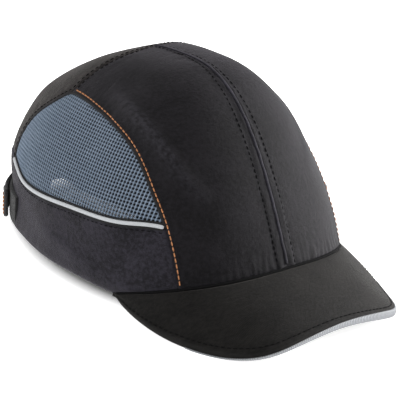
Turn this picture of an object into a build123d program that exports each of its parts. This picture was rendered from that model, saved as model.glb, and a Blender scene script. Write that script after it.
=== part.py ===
from build123d import *
import math
import os

# Bump cap, in millimetres and degrees.
#
# Cap frame, used for all the shapes: the front is -Y, the wearer's left is +X, +Z is up, and z = 0 is
# the plane of the crown's rim. Only at the very end is everything tipped onto its resting place, on the
# two low corners of the brim and the rear of the rim.

# ------------------------------------------------------------------ driving dimensions
# crown: outer face of the fabric
CROWN_HALF_WIDTH = 86.0
CROWN_FRONT = 100.2
CROWN_REAR = 121.8
CROWN_AXIS_Y = -11.85
CROWN_HEIGHT = 116.1
PLAN_POWER = 2.3
DOME_POWER = 2.5
FRONT_RISE, SIDE_RISE, REAR_RISE = 0.9, 1.22, 2.17
GIRTH_HEIGHT = 7.2
HEM_TUCK = 0.02
REAR_TUCK = 5.0
TUCK_HEIGHT, TUCK_SPREAD = 15.0, 18.0
TUCK_STARTS, TUCK_FULL = 95.0, 130.0
HEM_RISE = 2.5
HEM_RISES, HEM_LEVEL = (58.0, 84.0), (122.0, 150.0)

# cloth layers, as offsets from the crown's outer face
FABRIC = 1.2
MESH = 1.0
TAPE_TOP, TAPE_BOTTOM = -1.5, -2.1
SWEATBAND_TOP, SWEATBAND_BOTTOM = -2.4, -4.6
SHELL_TOP, SHELL_BOTTOM = -5.7, -8.2
PAD_TOP, PAD_BOTTOM = -9.0, -15.0
SEAM_GAP = 0.3
SEWN_ON = 0.35

# how closely a face follows its points, and its highest degree: for most pieces, a long band and the brim
EVEN_FIT = (0.05, 3)
LONG_FIT = (0.01, 5)
BRIM_FIT = (0.02, 3)

# seams, as points of (bearing from the front, height above the rim)
FRONT_SEAM = [(39.6, 10.6), (42, 26.2), (46.8, 45.2), (52, 57), (57.2, 66.4), (65.6, 76), (81, 83.6), (105, 88.8),
              (131, 91)]
WAIST_SEAM = [(63, 40), (84, 38.3), (108, 35.8), (120, 34.8), (129, 35.8), (137, 40), (143, 43.2), (154, 45),
              (166, 43.5), (172, 49), (180, 52)]
PIPING_STARTS = 41.5
PIPING_ENDS = 140.5
BAND_ENDS = 166.0
REAR_SEAM = [(142.6, 51), (143.2, 60), (142, 70), (137.5, 80.5), (131, 91)]
CROSS_SEAM = [(131, 91), (137.2, 106.5), (150.3, 112.8), (180, 114.6)]
MESH_TIP = 0.965
ARCH_SIDE = [(162.3, 0), (163, 20), (166, 43.5)]
PIPING_WIDTH = 3.0
PIPING_BULGE = 1.3
BINDING_WIDTH = 4.0

# brim
BRIM_SPREAD = 64.0
BRIM_ARCH = 17.2
BRIM_OUTLINE = [(0, -151.4, -2.5), (33, -150.1, -6), (49.6, -145, -9.8), (61, -133, -12.4),
                (70.5, -115.6, -12.7), (78.5, -95.4, -10), (81.8, -75, -5.6), (79, -51.8, -1.6)]
BRIM_THICK = 4.4
BRIM_TIP_THICK = 2.4
BRIM_CAMBER = 1.5
COVER = 0.9
LAYER_GAP = 0.25
BOARD_INSET = 0.02
TRIM_REACH = 0.62
TRIM_THICK = 0.9

# sweatband, insert and pads
SWEATBAND_ENDS = 156.0
SWEATBAND_HEIGHT = 33.0
SWEATBAND_LIFT = 1.5
SHELL_FRONT = [(48, 41), (0, 47), (-48, 41)]
SHELL_SIDE = [(48, 41), (92, 47), (136, 45)]
SHELL_REAR = [(136, 45), (180, 56), (-136, 45)]
VENT_LENGTH, VENT_WIDTH = 26.0, 6.0
VENT_ROWS = (-45, -8, 30)
VENT_OFFSETS = (-46, -30, 30, 46)
TAB_BEARINGS = (56, 124)
TAB_HALF_WIDTH = 5.0
TAB_THICK = 0.8

# closing strap: rings about a vertical axis behind the crown's axis
STRAP_CENTRE_Y = 32.0
LOOP_OUTER = 76.2
HOOK_INNER, HOOK_OUTER = 76.5, 77.2
STRAP_INNER, STRAP_OUTER = 77.3, 78.6
ANCHOR_INNER, ANCHOR_OUTER = 78.9, 79.9
STRAP_LOW, STRAP_HIGH = 3.5, 21.5
PEEL_ANGLE = -36.0
STRAP_ROOT = 47.0
TAB_END = -62.0
HOOK_START, HOOK_END = -38.5, -60.0
LOOP_START, LOOP_END = -37.0, -72.0
ANCHOR_START, ANCHOR_END = 37.0, 58.0
PEEL_GAP = 0.4

# resting place: pitch about X, then the shift that puts the origin under the middle of the box
PITCH = 3.44
REST_SHIFT = (0.0, 20.48, 5.69)


# ------------------------------------------------------------------ crown surface
def smooth_step(x):
    x = min(max(x, 0.0), 1.0)
    return x * x * (3 - 2 * x)


def wall_point(bearing, drop):
    """A point of the crown. drop is 0 at the apex and 1 at the rim."""
    height = CROWN_HEIGHT * (1 - drop ** DOME_POWER)
    rise = max(height - GIRTH_HEIGHT, 0.0) / (CROWN_HEIGHT - GIRTH_HEIGHT)
    ahead, aside = math.cos(bearing), math.sin(bearing)
    reach = CROWN_FRONT if ahead > 0 else CROWN_REAR
    end_rise = FRONT_RISE if ahead > 0 else REAR_RISE
    power = SIDE_RISE + (end_rise - SIDE_RISE) * ahead ** 2
    sector = abs(aside / CROWN_HALF_WIDTH) ** PLAN_POWER + abs(ahead / reach) ** PLAN_POWER
    radius = sector ** (-1 / PLAN_POWER) * (1 - rise ** power) ** (1 / DOME_POWER)
    tuck = HEM_TUCK * (aside ** 2 if ahead > 0 else 1.0)
    radius *= 1 - tuck * (1 - min(height / GIRTH_HEIGHT, 1.0)) ** 2
    behind = smooth_step((abs(math.degrees(bearing)) - TUCK_STARTS) / (TUCK_FULL - TUCK_STARTS))
    radius -= REAR_TUCK * behind * math.exp(-((height - TUCK_HEIGHT) / TUCK_SPREAD) ** 2)
    return Vector(radius * aside, CROWN_AXIS_Y - radius * ahead, height)


def chart(bearing, height):
    """The crown unrolled to a disc: the apex is its centre, the rim its edge, the front is at -y."""
    drop = (1 - height / CROWN_HEIGHT) ** (1 / DOME_POWER)
    angle = math.radians(bearing)
    return Vector(drop * math.sin(angle), -drop * math.cos(angle))


def unchart(place):
    drop = min(math.hypot(place.X, place.Y), 1.0)
    return math.degrees(math.atan2(place.X, -place.Y)), CROWN_HEIGHT * (1 - drop ** DOME_POWER)


def on_wall(place):
    return wall_point(math.atan2(place.X, -place.Y), min(math.hypot(place.X, place.Y), 1.0))


def crown(place, offset=0.0):
    """The point over a place in the chart, moved out of the crown's face by the offset."""
    step = 0.002
    inside = min(1.0, (1 - 2 * step) / max(place.length, step))
    middle = place * inside
    along_x = on_wall(middle + Vector(step, 0)) - on_wall(middle - Vector(step, 0))
    along_y = on_wall(middle + Vector(0, step)) - on_wall(middle - Vector(0, step))
    return on_wall(place) + along_x.cross(along_y).normalized() * offset


# ------------------------------------------------------------------ curves and sheets
def through(places):
    """A smooth curve through places, as a function of 0 to 1."""
    edge = Edge.make_spline(places)
    return lambda s: edge.position_at(min(max(s, 0.0), 1.0))


def seam(points):
    return through([chart(*point) for point in points])


def mirrored(curve):
    return lambda s: Vector(-curve(s).X, curve(s).Y, curve(s).Z)


def stretch(curve, start, end):
    return lambda s: curve(start + (end - start) * s)


def both_sides(points):
    """Seam points of one side followed by their mirror images, meeting at the last point."""
    return points + [(-bearing, height) for bearing, height in reversed(points[:-1])]


def raised(curve, rise):
    """The same line, moved up the wall."""
    def moved(s):
        bearing, height = unchart(curve(s))
        return chart(bearing, max(height + rise, 0.0))
    return moved


def where(curve, test):
    """The place along a curve, from 0 to 1, where the test first stops being true."""
    low, high = 0.0, 1.0
    for _ in range(30):
        middle = (low + high) / 2
        if test(*unchart(curve(middle))):
            low = middle
        else:
            high = middle
    return low


def coons(bottom, top, left, right):
    """The patch that four curves bound, as a function of two parameters."""
    def place(u, v):
        across = bottom(u) * (1 - v) + top(u) * v
        along = left(v) * (1 - u) + right(v) * u
        corners = (bottom(0) * (1 - u) + bottom(1) * u) * (1 - v) + (top(0) * (1 - u) + top(1) * u) * v
        return across + along - corners
    return place


def between(outer, inner, columns, rows, gap=0.0, fit=EVEN_FIT):
    """The solid between two faces, each a function of two parameters, held back from its neighbours."""
    tolerance, degree = fit
    wide = sum((outer((i + 1) / 8, 0.5) - outer(i / 8, 0.5)).length for i in range(8))
    high = sum((outer(0.5, (i + 1) / 8) - outer(0.5, i / 8)).length for i in range(8))
    trim_u, trim_v = gap / wide, gap / high

    def face(surface):
        grid = [[surface(trim_u + (1 - 2 * trim_u) * i / columns, trim_v + (1 - 2 * trim_v) * j / rows)
                 for i in range(columns + 1)] for j in range(rows + 1)]
        return Face.make_surface_from_array_of_points(grid, tol=tolerance, min_deg=3, max_deg=degree)

    front, back = face(outer), face(inner)
    walls = []
    for edge in front.edges():
        middle = edge.position_at(0.5)
        twin = min(back.edges(), key=lambda other: (other.position_at(0.5) - middle).length)
        walls.append(Face.make_surface_from_curves(edge, twin))
    solid = Solid(Shell([front, back] + walls))
    return solid if solid.volume > 0 else -solid


def cloth(place, top, bottom, columns, rows, gap=SEAM_GAP, fit=EVEN_FIT):
    """A layer of the crown over a patch of the chart, between two offsets, fixed or varying."""
    top_at = top if callable(top) else (lambda u, v: top)
    bottom_at = bottom if callable(bottom) else (lambda u, v: bottom)
    return between(lambda u, v: crown(place(u, v), top_at(u, v)),
                   lambda u, v: crown(place(u, v), bottom_at(u, v)), columns, rows, gap, fit)


def on_side(place, side):
    """A patch drawn for the wearer's left, or its mirror image for the right."""
    if side > 0:
        return place
    return lambda u, v: Vector(-place(u, v).X, place(u, v).Y)


def area_of_bearings(start, end, low, high):
    """A patch between two bearings and two heights; each height may be a function of the bearing."""
    low_at = low if callable(low) else (lambda bearing: low)
    high_at = high if callable(high) else (lambda bearing: high)

    def place(u, v):
        bearing = start + (end - start) * u
        return chart(bearing, low_at(bearing) * (1 - v) + high_at(bearing) * v)
    return place


# ------------------------------------------------------------------ seams
def brim_seam_height(bearing):
    share = min(abs(bearing) / BRIM_SPREAD, 1.0)
    return BRIM_ARCH * (1 - share ** 2)


def hem_height(bearing):
    """The crown's lower edge: arched over the brim, a little raised over the ears, level at the rear."""
    start, full = HEM_RISES
    falls, ends = HEM_LEVEL
    rise = smooth_step((abs(bearing) - start) / (full - start))
    fall = smooth_step((abs(bearing) - falls) / (ends - falls))
    return brim_seam_height(bearing) + HEM_RISE * rise * (1 - fall)


front_seam = seam(FRONT_SEAM)
mesh_foot = where(front_seam, lambda bearing, height: height < PIPING_STARTS)
waist_left = [front_seam(mesh_foot)] + [chart(*point) for point in WAIST_SEAM]
waist = through(waist_left + [Vector(-place.X, place.Y) for place in reversed(waist_left[:-1])])
piping_end = where(waist, lambda bearing, height: 0 < bearing < PIPING_ENDS)
band_end = where(waist, lambda bearing, height: 0 < bearing < BAND_ENDS)
band_top = stretch(waist, 0, band_end)
rear_seam = through([waist(piping_end)] + [chart(*point) for point in REAR_SEAM])
cross_seam = seam(both_sides(CROSS_SEAM))
arch_side = seam(ARCH_SIDE)
arch = seam(both_sides(ARCH_SIDE + WAIST_SEAM[-2:]))


# ------------------------------------------------------------------ crown pieces
def front_panel(side):
    hem = lambda s: chart(FRONT_SEAM[0][0] * (1 - s), brim_seam_height(FRONT_SEAM[0][0] * (1 - s)))
    foot, head = chart(0, BRIM_ARCH), chart(*CROSS_SEAM[-1])
    centre = lambda s: foot * (1 - s) + head * s
    patch = coons(hem, stretch(cross_seam, 0, 0.5), front_seam, centre)
    return cloth(on_side(patch, side), 0, -FABRIC, 14, 22)


def rear_panel():
    hem = stretch(waist, piping_end, 1 - piping_end)
    patch = coons(hem, cross_seam, rear_seam, mirrored(rear_seam))
    return cloth(patch, 0, -FABRIC, 36, 16)


def mesh_panel(side):
    tip = lambda s: front_seam(MESH_TIP) * (1 - s) + rear_seam(MESH_TIP) * s
    patch = coons(stretch(waist, 0, piping_end), tip,
                  stretch(front_seam, mesh_foot, MESH_TIP), stretch(rear_seam, 0, MESH_TIP))
    return cloth(on_side(patch, side), -0.1, -0.1 - MESH, 20, 14)


def side_band(side):
    start, end = FRONT_SEAM[0][0], ARCH_SIDE[0][0]
    hem = lambda s: chart(start + (end - start) * s, hem_height(start + (end - start) * s))
    patch = coons(hem, band_top, stretch(front_seam, 0, mesh_foot), arch_side)
    return cloth(on_side(patch, side), 0, -FABRIC, 30, 10)


def piping(side):
    line = stretch(waist, 0, piping_end)
    lower, upper = raised(line, -PIPING_WIDTH / 2), raised(line, PIPING_WIDTH / 2)
    patch = lambda u, v: lower(u) * (1 - v) + upper(u) * v
    bead = lambda u, v: SEWN_ON + 0.25 + PIPING_BULGE * math.sin(math.pi * v)
    return cloth(on_side(patch, side), bead, SEWN_ON, 24, 6)


def centre_seam_tape():
    foot, head, half = chart(0, SWEATBAND_HEIGHT + 2), chart(*CROSS_SEAM[-1]) - Vector(0, 0.08), 0.06
    patch = lambda u, v: foot * (1 - v) + head * v + Vector(half * (2 * u - 1), 0)
    return cloth(patch, TAPE_TOP, TAPE_BOTTOM, 4, 18)


def cross_seam_tape():
    line, half = stretch(cross_seam, 0.04, 0.96), 0.045
    patch = lambda u, v: line(u) + Vector(0, half * (1 - 2 * v))
    return cloth(patch, TAPE_TOP, TAPE_BOTTOM, 18, 4)


def rear_opening_binding():
    def patch(u, v):
        bearing, height = unchart(arch(u))
        lift = smooth_step(height / WAIST_SEAM[-1][1])
        aside = BINDING_WIDTH * 0.75 * (1 - lift) * (1 if bearing < 0 else -1)
        return chart(bearing + aside * v, height + BINDING_WIDTH * lift * v)
    return cloth(patch, SEWN_ON + 0.6, SEWN_ON, 30, 3)


# ------------------------------------------------------------------ brim
outline = through([Vector(-x, y, z) for x, y, z in reversed(BRIM_OUTLINE[1:])]
                  + [Vector(*point) for point in BRIM_OUTLINE])


def brim_thickness(u):
    return BRIM_THICK - (BRIM_THICK - BRIM_TIP_THICK) * smooth_step((abs(2 * u - 1) - 0.6) / 0.4)


def brim_face(depth):
    """A face of the brim, at a share of its thickness below the top: 0 is the top, 1 the underside."""
    def face(u, v):
        bearing = BRIM_SPREAD * (2 * u - 1)
        root = crown(chart(bearing, brim_seam_height(bearing)), 0.5)
        edge = outline(u) + Vector(0, 0, brim_thickness(u))
        camber = BRIM_CAMBER * math.sin(math.pi * v) * (1 - (2 * u - 1) ** 2)
        return root * (1 - v) + edge * v + Vector(0, 0, camber - depth(u))
    return face


def brim_layer(above, below, inset=0.001):
    """A layer of the brim between two depths, each a function of the place along the brim."""
    def held_back(face):
        return lambda u, v: face(inset + (1 - 2 * inset) * u, inset + (1 - 2 * inset) * v)
    return between(held_back(brim_face(above)), held_back(brim_face(below)), 28, 8, fit=BRIM_FIT)


def brim_top_cover():
    return brim_layer(lambda u: 0.0, lambda u: COVER / BRIM_THICK * brim_thickness(u))


def brim_board():
    share = (COVER + LAYER_GAP) / BRIM_THICK
    return brim_layer(lambda u: share * brim_thickness(u), lambda u: (1 - share) * brim_thickness(u),
                      BOARD_INSET)


def brim_under_cover():
    share = COVER / BRIM_THICK
    return brim_layer(lambda u: (1 - share) * brim_thickness(u), lambda u: brim_thickness(u))


def brim_edge_trim():
    start, end = 0.5 - TRIM_REACH / 2, 0.5 + TRIM_REACH / 2

    def face(stand):
        def strip(u, v):
            place = outline(start + (end - start) * u)
            ahead = outline(start + (end - start) * u + 0.002) - outline(start + (end - start) * u - 0.002)
            out = Vector(ahead.Y, -ahead.X, 0).normalized()
            bulge = math.sin(math.pi * v) * 0.4 if stand > 0.5 else 0.0
            height = 0.4 + (BRIM_THICK - 1.0) * v
            return place + out * (stand + bulge) + Vector(0, 0, height)
        return strip
    return between(face(0.1 + TRIM_THICK), face(0.1), 28, 4)


# ------------------------------------------------------------------ inside the cap
def sweatband():
    patch = area_of_bearings(-SWEATBAND_ENDS, SWEATBAND_ENDS,
                             lambda bearing: hem_height(bearing) + SWEATBAND_LIFT, SWEATBAND_HEIGHT)
    return cloth(patch, SWEATBAND_TOP, SWEATBAND_BOTTOM, 52, 10, fit=LONG_FIT)


def insert_shell():
    front, side, rear = seam(SHELL_FRONT), seam(SHELL_SIDE), seam(SHELL_REAR)
    patch = coons(stretch(front, 1, 0), stretch(rear, 1, 0), mirrored(side), side)
    shell = cloth(patch, SHELL_TOP, SHELL_BOTTOM, 30, 30)
    for y in VENT_ROWS:
        for x in VENT_OFFSETS:
            slot = extrude(Plane.XY * Pos(x, y) * SlotOverall(VENT_LENGTH, VENT_WIDTH, rotation=90), 130)
            shell = shell - slot
    return shell


def pad(start, end, low, high):
    patch = area_of_bearings(start, end, low, high)
    return cloth(patch, PAD_TOP, PAD_BOTTOM, 14, 10)


def crown_pad():
    reach = 0.32
    half_width = lambda v: 0.21 - 0.08 * v
    patch = lambda u, v: Vector(half_width(v) * (2 * u - 1), reach * (2 * v - 1))
    return cloth(patch, PAD_TOP, PAD_BOTTOM, 10, 12)


def insert_tab(bearing):
    """A sewn tab that leaves the sweatband's top and holds the shell's edge from the inside."""
    patch = area_of_bearings(bearing - TAB_HALF_WIDTH, bearing + TAB_HALF_WIDTH, 28, 54)
    outer = lambda u, v: SWEATBAND_BOTTOM - 0.2 - 4.2 * smooth_step(v / 0.35)
    inner = lambda u, v: outer(u, v) - TAB_THICK
    return cloth(patch, outer, inner, 4, 10)


def care_label():
    return cloth(area_of_bearings(136, 146, 7, 29), SWEATBAND_BOTTOM - 0.1, SWEATBAND_BOTTOM - 0.5, 4, 4)


# ------------------------------------------------------------------ closing strap
def ring_point(radius, angle, height):
    """A point about the strap's axis. The angle is from the rear, positive to the wearer's left."""
    turn = math.radians(angle)
    return Vector(radius * math.sin(turn), STRAP_CENTRE_Y + radius * math.cos(turn), height)


def ring_sector(inner, outer, start, end, low, high):
    """A curved plate about the strap's axis."""
    middle = (start + end) / 2
    profile = Polyline(ring_point(inner, start, low), ring_point(outer, start, low))
    far_side = Polyline(ring_point(outer, end, low), ring_point(inner, end, low))
    outside = ThreePointArc(ring_point(outer, start, low), ring_point(outer, middle, low),
                            ring_point(outer, end, low))
    inside = ThreePointArc(ring_point(inner, end, low), ring_point(inner, middle, low),
                           ring_point(inner, start, low))
    return extrude(make_face(Curve() + [profile, outside, far_side, inside]), high - low, dir=(0, 0, 1))


def wall_to_ring(radius, start, end, low, high, lift):
    """The solid between the crown's outer face and a ring about the strap's axis."""
    def height(v):
        return low + (high - low) * v

    def ring(u, v):
        return ring_point(radius, start + (end - start) * u, height(v))

    def wall(u, v):
        target = start + (end - start) * u
        near, far = 90.0, 270.0
        for _ in range(40):
            middle = (near + far) / 2
            point = crown(chart(middle, height(v)), lift)
            angle = math.degrees(math.atan2(point.X, point.Y - STRAP_CENTRE_Y))
            if angle > target:
                near = middle
            else:
                far = middle
        return crown(chart((near + far) / 2, height(v)), lift)
    return between(ring, wall, 10, 4)


def loop_patch():
    return wall_to_ring(LOOP_OUTER, LOOP_END, LOOP_START, STRAP_LOW, STRAP_HIGH, SEWN_ON)


def strap_anchor():
    block = wall_to_ring(ANCHOR_OUTER, ANCHOR_START, ANCHOR_END, STRAP_LOW - 2, STRAP_HIGH + 2, SEWN_ON)
    tunnel = ring_sector(60, ANCHOR_INNER, ANCHOR_START - 5, ANCHOR_END + 5, STRAP_LOW - 0.3, STRAP_HIGH + 0.3)
    return block - tunnel


def closure_strap():
    start = PEEL_ANGLE + math.degrees(PEEL_GAP / STRAP_OUTER)
    return ring_sector(STRAP_INNER, STRAP_OUTER, start, STRAP_ROOT, STRAP_LOW, STRAP_HIGH)


def strap_tab():
    return ring_sector(STRAP_INNER, STRAP_OUTER, TAB_END, PEEL_ANGLE, STRAP_LOW, STRAP_HIGH)


def hook_patch():
    return ring_sector(HOOK_INNER, HOOK_OUTER, HOOK_END, HOOK_START, STRAP_LOW + 0.5, STRAP_HIGH - 0.5)


# ------------------------------------------------------------------ assembly
pieces = {
    "front_panel_left": front_panel(1),
    "front_panel_right": front_panel(-1),
    "rear_panel": rear_panel(),
    "mesh_panel_left": mesh_panel(1),
    "mesh_panel_right": mesh_panel(-1),
    "side_band_left": side_band(1),
    "side_band_right": side_band(-1),
    "piping_left": piping(1),
    "piping_right": piping(-1),
    "centre_seam_tape": centre_seam_tape(),
    "cross_seam_tape": cross_seam_tape(),
    "rear_opening_binding": rear_opening_binding(),
    "brim_top_cover": brim_top_cover(),
    "brim_board": brim_board(),
    "brim_under_cover": brim_under_cover(),
    "brim_edge_trim": brim_edge_trim(),
    "sweatband": sweatband(),
    "insert_shell": insert_shell(),
    "front_pad": pad(-36, 36, 50, 74),
    "rear_pad": pad(152, 208, 60, 84),
    "side_pad_left": pad(72, 108, 50, 76),
    "side_pad_right": pad(-72, -108, 50, 76),
    "crown_pad": crown_pad(),
    "insert_tabs": Compound([insert_tab(s * bearing) for s in (1, -1) for bearing in TAB_BEARINGS]),
    "care_label": care_label(),
    "loop_patch": loop_patch(),
    "strap_anchor": strap_anchor(),
    "closure_strap": closure_strap(),
    "strap_tab": strap_tab(),
    "hook_patch": hook_patch(),
}

resting = Pos(*REST_SHIFT) * Rot(-PITCH, 0, 0)
os.makedirs("parts", exist_ok=True)
for name, piece in pieces.items():
    export_step(resting * piece, f"parts/{name}.step")
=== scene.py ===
import math
import bmesh
import bpy
import numpy as np
from mathutils import Matrix, Vector


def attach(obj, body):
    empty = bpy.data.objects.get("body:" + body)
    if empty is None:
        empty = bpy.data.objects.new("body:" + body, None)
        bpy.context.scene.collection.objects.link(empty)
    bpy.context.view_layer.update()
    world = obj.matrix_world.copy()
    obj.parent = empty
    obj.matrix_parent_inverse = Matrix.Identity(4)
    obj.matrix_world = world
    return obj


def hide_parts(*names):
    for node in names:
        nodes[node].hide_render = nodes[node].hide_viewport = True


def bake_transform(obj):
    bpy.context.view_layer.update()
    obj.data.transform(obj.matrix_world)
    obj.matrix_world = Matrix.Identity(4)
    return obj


# The looks of a bump cap. Shapes are worked out in the cap frame, in millimetres: the front is -Y, the
# wearer's left is +X and z = 0 is the plane of the crown's rim. rest() tips them onto the cap's resting
# place and turns them into metres, as the last lines of part.py do.

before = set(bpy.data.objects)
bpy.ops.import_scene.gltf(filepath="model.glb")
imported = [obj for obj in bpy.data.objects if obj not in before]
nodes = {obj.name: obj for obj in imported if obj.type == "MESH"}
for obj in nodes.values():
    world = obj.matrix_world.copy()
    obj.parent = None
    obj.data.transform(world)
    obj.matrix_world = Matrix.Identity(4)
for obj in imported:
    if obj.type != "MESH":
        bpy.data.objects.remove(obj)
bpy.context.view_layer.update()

# ------------------------------------------------------------------ sizes, as in part.py
MM = 0.001
CROWN_HALF_WIDTH = 86.0
CROWN_FRONT, CROWN_REAR = 100.2, 121.8
CROWN_AXIS_Y = -11.85
CROWN_HEIGHT = 116.1
PLAN_POWER, DOME_POWER = 2.3, 2.5
FRONT_RISE, SIDE_RISE, REAR_RISE = 0.9, 1.22, 2.17
GIRTH_HEIGHT = 7.2
HEM_TUCK = 0.02
REAR_TUCK, TUCK_HEIGHT, TUCK_SPREAD = 5.0, 15.0, 18.0
TUCK_STARTS, TUCK_FULL = 95.0, 130.0
HEM_RISE = 2.5
HEM_RISES, HEM_LEVEL = (58.0, 84.0), (122.0, 150.0)
FABRIC = 1.2
HANDS = ((1, "left"), (-1, "right"))
FRONT_SEAM = [(39.6, 10.6), (42, 26.2), (46.8, 45.2), (52, 57), (57.2, 66.4), (65.6, 76), (81, 83.6),
              (105, 88.8), (131, 91)]
WAIST_SEAM = [(63, 40), (84, 38.3), (108, 35.8), (120, 34.8), (129, 35.8), (137, 40), (143, 43.2), (154, 45),
              (166, 43.5), (172, 49), (180, 52)]
PIPING_STARTS, PIPING_ENDS, BAND_ENDS = 41.5, 140.5, 166.0
REAR_SEAM = [(142.6, 51), (143.2, 60), (142, 70), (137.5, 80.5), (131, 91)]
CROSS_SEAM = [(131, 91), (137.2, 106.5), (150.3, 112.8), (180, 114.6)]
MESH_TIP = 0.965
ARCH_SIDE = [(162.3, 0), (163, 20), (166, 43.5)]
BRIM_SPREAD, BRIM_ARCH = 64.0, 17.2
BRIM_OUTLINE = [(0, -151.4, -2.5), (33, -150.1, -6), (49.6, -145, -9.8), (61, -133, -12.4),
                (70.5, -115.6, -12.7), (78.5, -95.4, -10), (81.8, -75, -5.6), (79, -51.8, -1.6)]
BRIM_THICK, BRIM_TIP_THICK, BRIM_CAMBER = 4.4, 2.4, 1.5
TRIM_REACH = 0.62
SWEATBAND_ENDS, SWEATBAND_HEIGHT, SWEATBAND_LIFT = 156.0, 33.0, 1.5
SWEATBAND_TOP, SWEATBAND_BOTTOM = -2.4, -4.6
PAD_TOP, PAD_BOTTOM = -9.0, -15.0
TAB_BEARINGS, TAB_HALF_WIDTH, TAB_THICK = (56, 124), 5.0, 0.8
STRAP_CENTRE_Y = 32.0
LOOP_OUTER = 76.2
HOOK_INNER, HOOK_OUTER = 76.5, 77.2
STRAP_INNER, STRAP_OUTER = 77.3, 78.6
ANCHOR_OUTER = 79.9
STRAP_LOW, STRAP_HIGH = 3.5, 21.5
PEEL_ANGLE, STRAP_ROOT, TAB_END = -36.0, 47.0, -62.0
HOOK_START, HOOK_END = -38.5, -60.0
LOOP_START, LOOP_END = -37.0, -72.0
ANCHOR_START, ANCHOR_END = 37.0, 58.0
PITCH = math.radians(3.44)
REST_SHIFT = (0.0, 20.48, 5.69)


# ------------------------------------------------------------------ crown surface
def smooth_step(x):
    x = np.clip(x, 0.0, 1.0)
    return x * x * (3 - 2 * x)


def bell(x, width):
    """1 where x is 0, falling away to both sides."""
    return np.exp(-(x / width) ** 2)


def wave(x, pitch):
    return np.sin(2 * math.pi * x / pitch)


def between(start, end, share):
    return start + (end - start) * share


def unit(vectors):
    return vectors / np.maximum(np.linalg.norm(vectors, axis=-1, keepdims=True), 1e-12)


def rest(points):
    """Points of the cap frame, in mm, as points of the row frame, in metres."""
    x, y, z = np.moveaxis(np.asarray(points, float), -1, 0)
    c, s = math.cos(PITCH), math.sin(PITCH)
    return (np.stack([x, y * c + z * s, z * c - y * s], -1) + REST_SHIFT) * MM


def wall(places):
    """The points of the crown over places in the chart, a disc with the apex at its centre."""
    drop = np.clip(np.hypot(places[..., 0], places[..., 1]), 1e-6, 1.0)
    bearing = np.arctan2(places[..., 0], -places[..., 1])
    height = CROWN_HEIGHT * (1 - drop ** DOME_POWER)
    rise = np.maximum(height - GIRTH_HEIGHT, 0.0) / (CROWN_HEIGHT - GIRTH_HEIGHT)
    ahead, aside = np.cos(bearing), np.sin(bearing)
    reach = np.where(ahead > 0, CROWN_FRONT, CROWN_REAR)
    end_rise = np.where(ahead > 0, FRONT_RISE, REAR_RISE)
    power = between(SIDE_RISE, end_rise, ahead ** 2)
    sector = np.abs(aside / CROWN_HALF_WIDTH) ** PLAN_POWER + np.abs(ahead / reach) ** PLAN_POWER
    radius = sector ** (-1 / PLAN_POWER) * (1 - rise ** power) ** (1 / DOME_POWER)
    tuck = HEM_TUCK * np.where(ahead > 0, aside ** 2, 1.0)
    radius = radius * (1 - tuck * (1 - np.minimum(height / GIRTH_HEIGHT, 1.0)) ** 2)
    behind = smooth_step((np.abs(np.degrees(bearing)) - TUCK_STARTS) / (TUCK_FULL - TUCK_STARTS))
    radius = radius - REAR_TUCK * behind * bell(height - TUCK_HEIGHT, TUCK_SPREAD)
    return np.stack([radius * aside, CROWN_AXIS_Y - radius * ahead, height], -1)


def chart(bearing, height):
    """The place in the chart at a bearing from the front, in degrees, and a height in mm."""
    bearing, height = np.broadcast_arrays(np.asarray(bearing, float), np.asarray(height, float))
    drop = (1 - np.clip(height, 0, CROWN_HEIGHT) / CROWN_HEIGHT) ** (1 / DOME_POWER)
    angle = np.radians(bearing)
    return np.stack([drop * np.sin(angle), -drop * np.cos(angle)], -1)


def unchart(places):
    """The bearings and heights of places in the chart."""
    drop = np.minimum(np.hypot(places[..., 0], places[..., 1]), 1.0)
    return np.degrees(np.arctan2(places[..., 0], -places[..., 1])), CROWN_HEIGHT * (1 - drop ** DOME_POWER)


def crown_normal(places):
    step = 0.002
    inside = np.minimum(1.0, (1 - 2 * step) / np.maximum(np.hypot(places[..., 0], places[..., 1]), step))
    middle = places * inside[..., None]
    along_x = wall(middle + (step, 0)) - wall(middle - (step, 0))
    along_y = wall(middle + (0, step)) - wall(middle - (0, step))
    return unit(np.cross(along_x, along_y))


def crown(places, offset=0.0):
    """Points over the chart, moved out of the crown's face by an offset in mm."""
    offset = np.broadcast_to(np.asarray(offset, float), places.shape[:-1])
    return wall(places) + crown_normal(places) * offset[..., None]


# ------------------------------------------------------------------ lines and patches
def through(points):
    """A smooth curve through points, as a function of numbers from 0 to 1 that is even along its length."""
    points = np.asarray(points, float)
    knots = np.concatenate([[0], np.cumsum(np.linalg.norm(np.diff(points, axis=0), axis=1))])
    count, gap = len(points), np.diff(knots)
    system, right = np.eye(count), np.zeros_like(points)
    for i in range(1, count - 1):
        system[i, i - 1:i + 2] = gap[i - 1], 2 * (gap[i - 1] + gap[i]), gap[i]
        right[i] = 6 * ((points[i + 1] - points[i]) / gap[i] - (points[i] - points[i - 1]) / gap[i - 1])
    bend = np.linalg.solve(system, right)

    def at(x):
        k = np.clip(np.searchsorted(knots, x) - 1, 0, count - 2)
        h = gap[k][..., None]
        a = (knots[k + 1] - x)[..., None] / h
        b = 1 - a
        cubic = ((a ** 3 - a) * bend[k] + (b ** 3 - b) * bend[k + 1]) * h ** 2 / 6
        return a * points[k] + b * points[k + 1] + cubic

    fine = np.linspace(0, knots[-1], 600)
    travelled = lengths(at(fine))
    return lambda s: at(np.interp(np.clip(s, 0, 1) * travelled[-1], travelled, fine))


def lengths(points):
    """How far along a line of points each one is."""
    steps = np.linalg.norm(np.diff(points, axis=-2), axis=-1)
    start = np.zeros(steps.shape[:-1] + (1,))
    return np.concatenate([start, np.cumsum(steps, axis=-1)], axis=-1)


def seam(points):
    return through(np.array([chart(*point) for point in points]))


def both_sides(points):
    return points + [(-bearing, height) for bearing, height in reversed(points[:-1])]


def stretch(curve, start, end):
    return lambda s: curve(between(start, end, np.asarray(s, float)))


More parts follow.
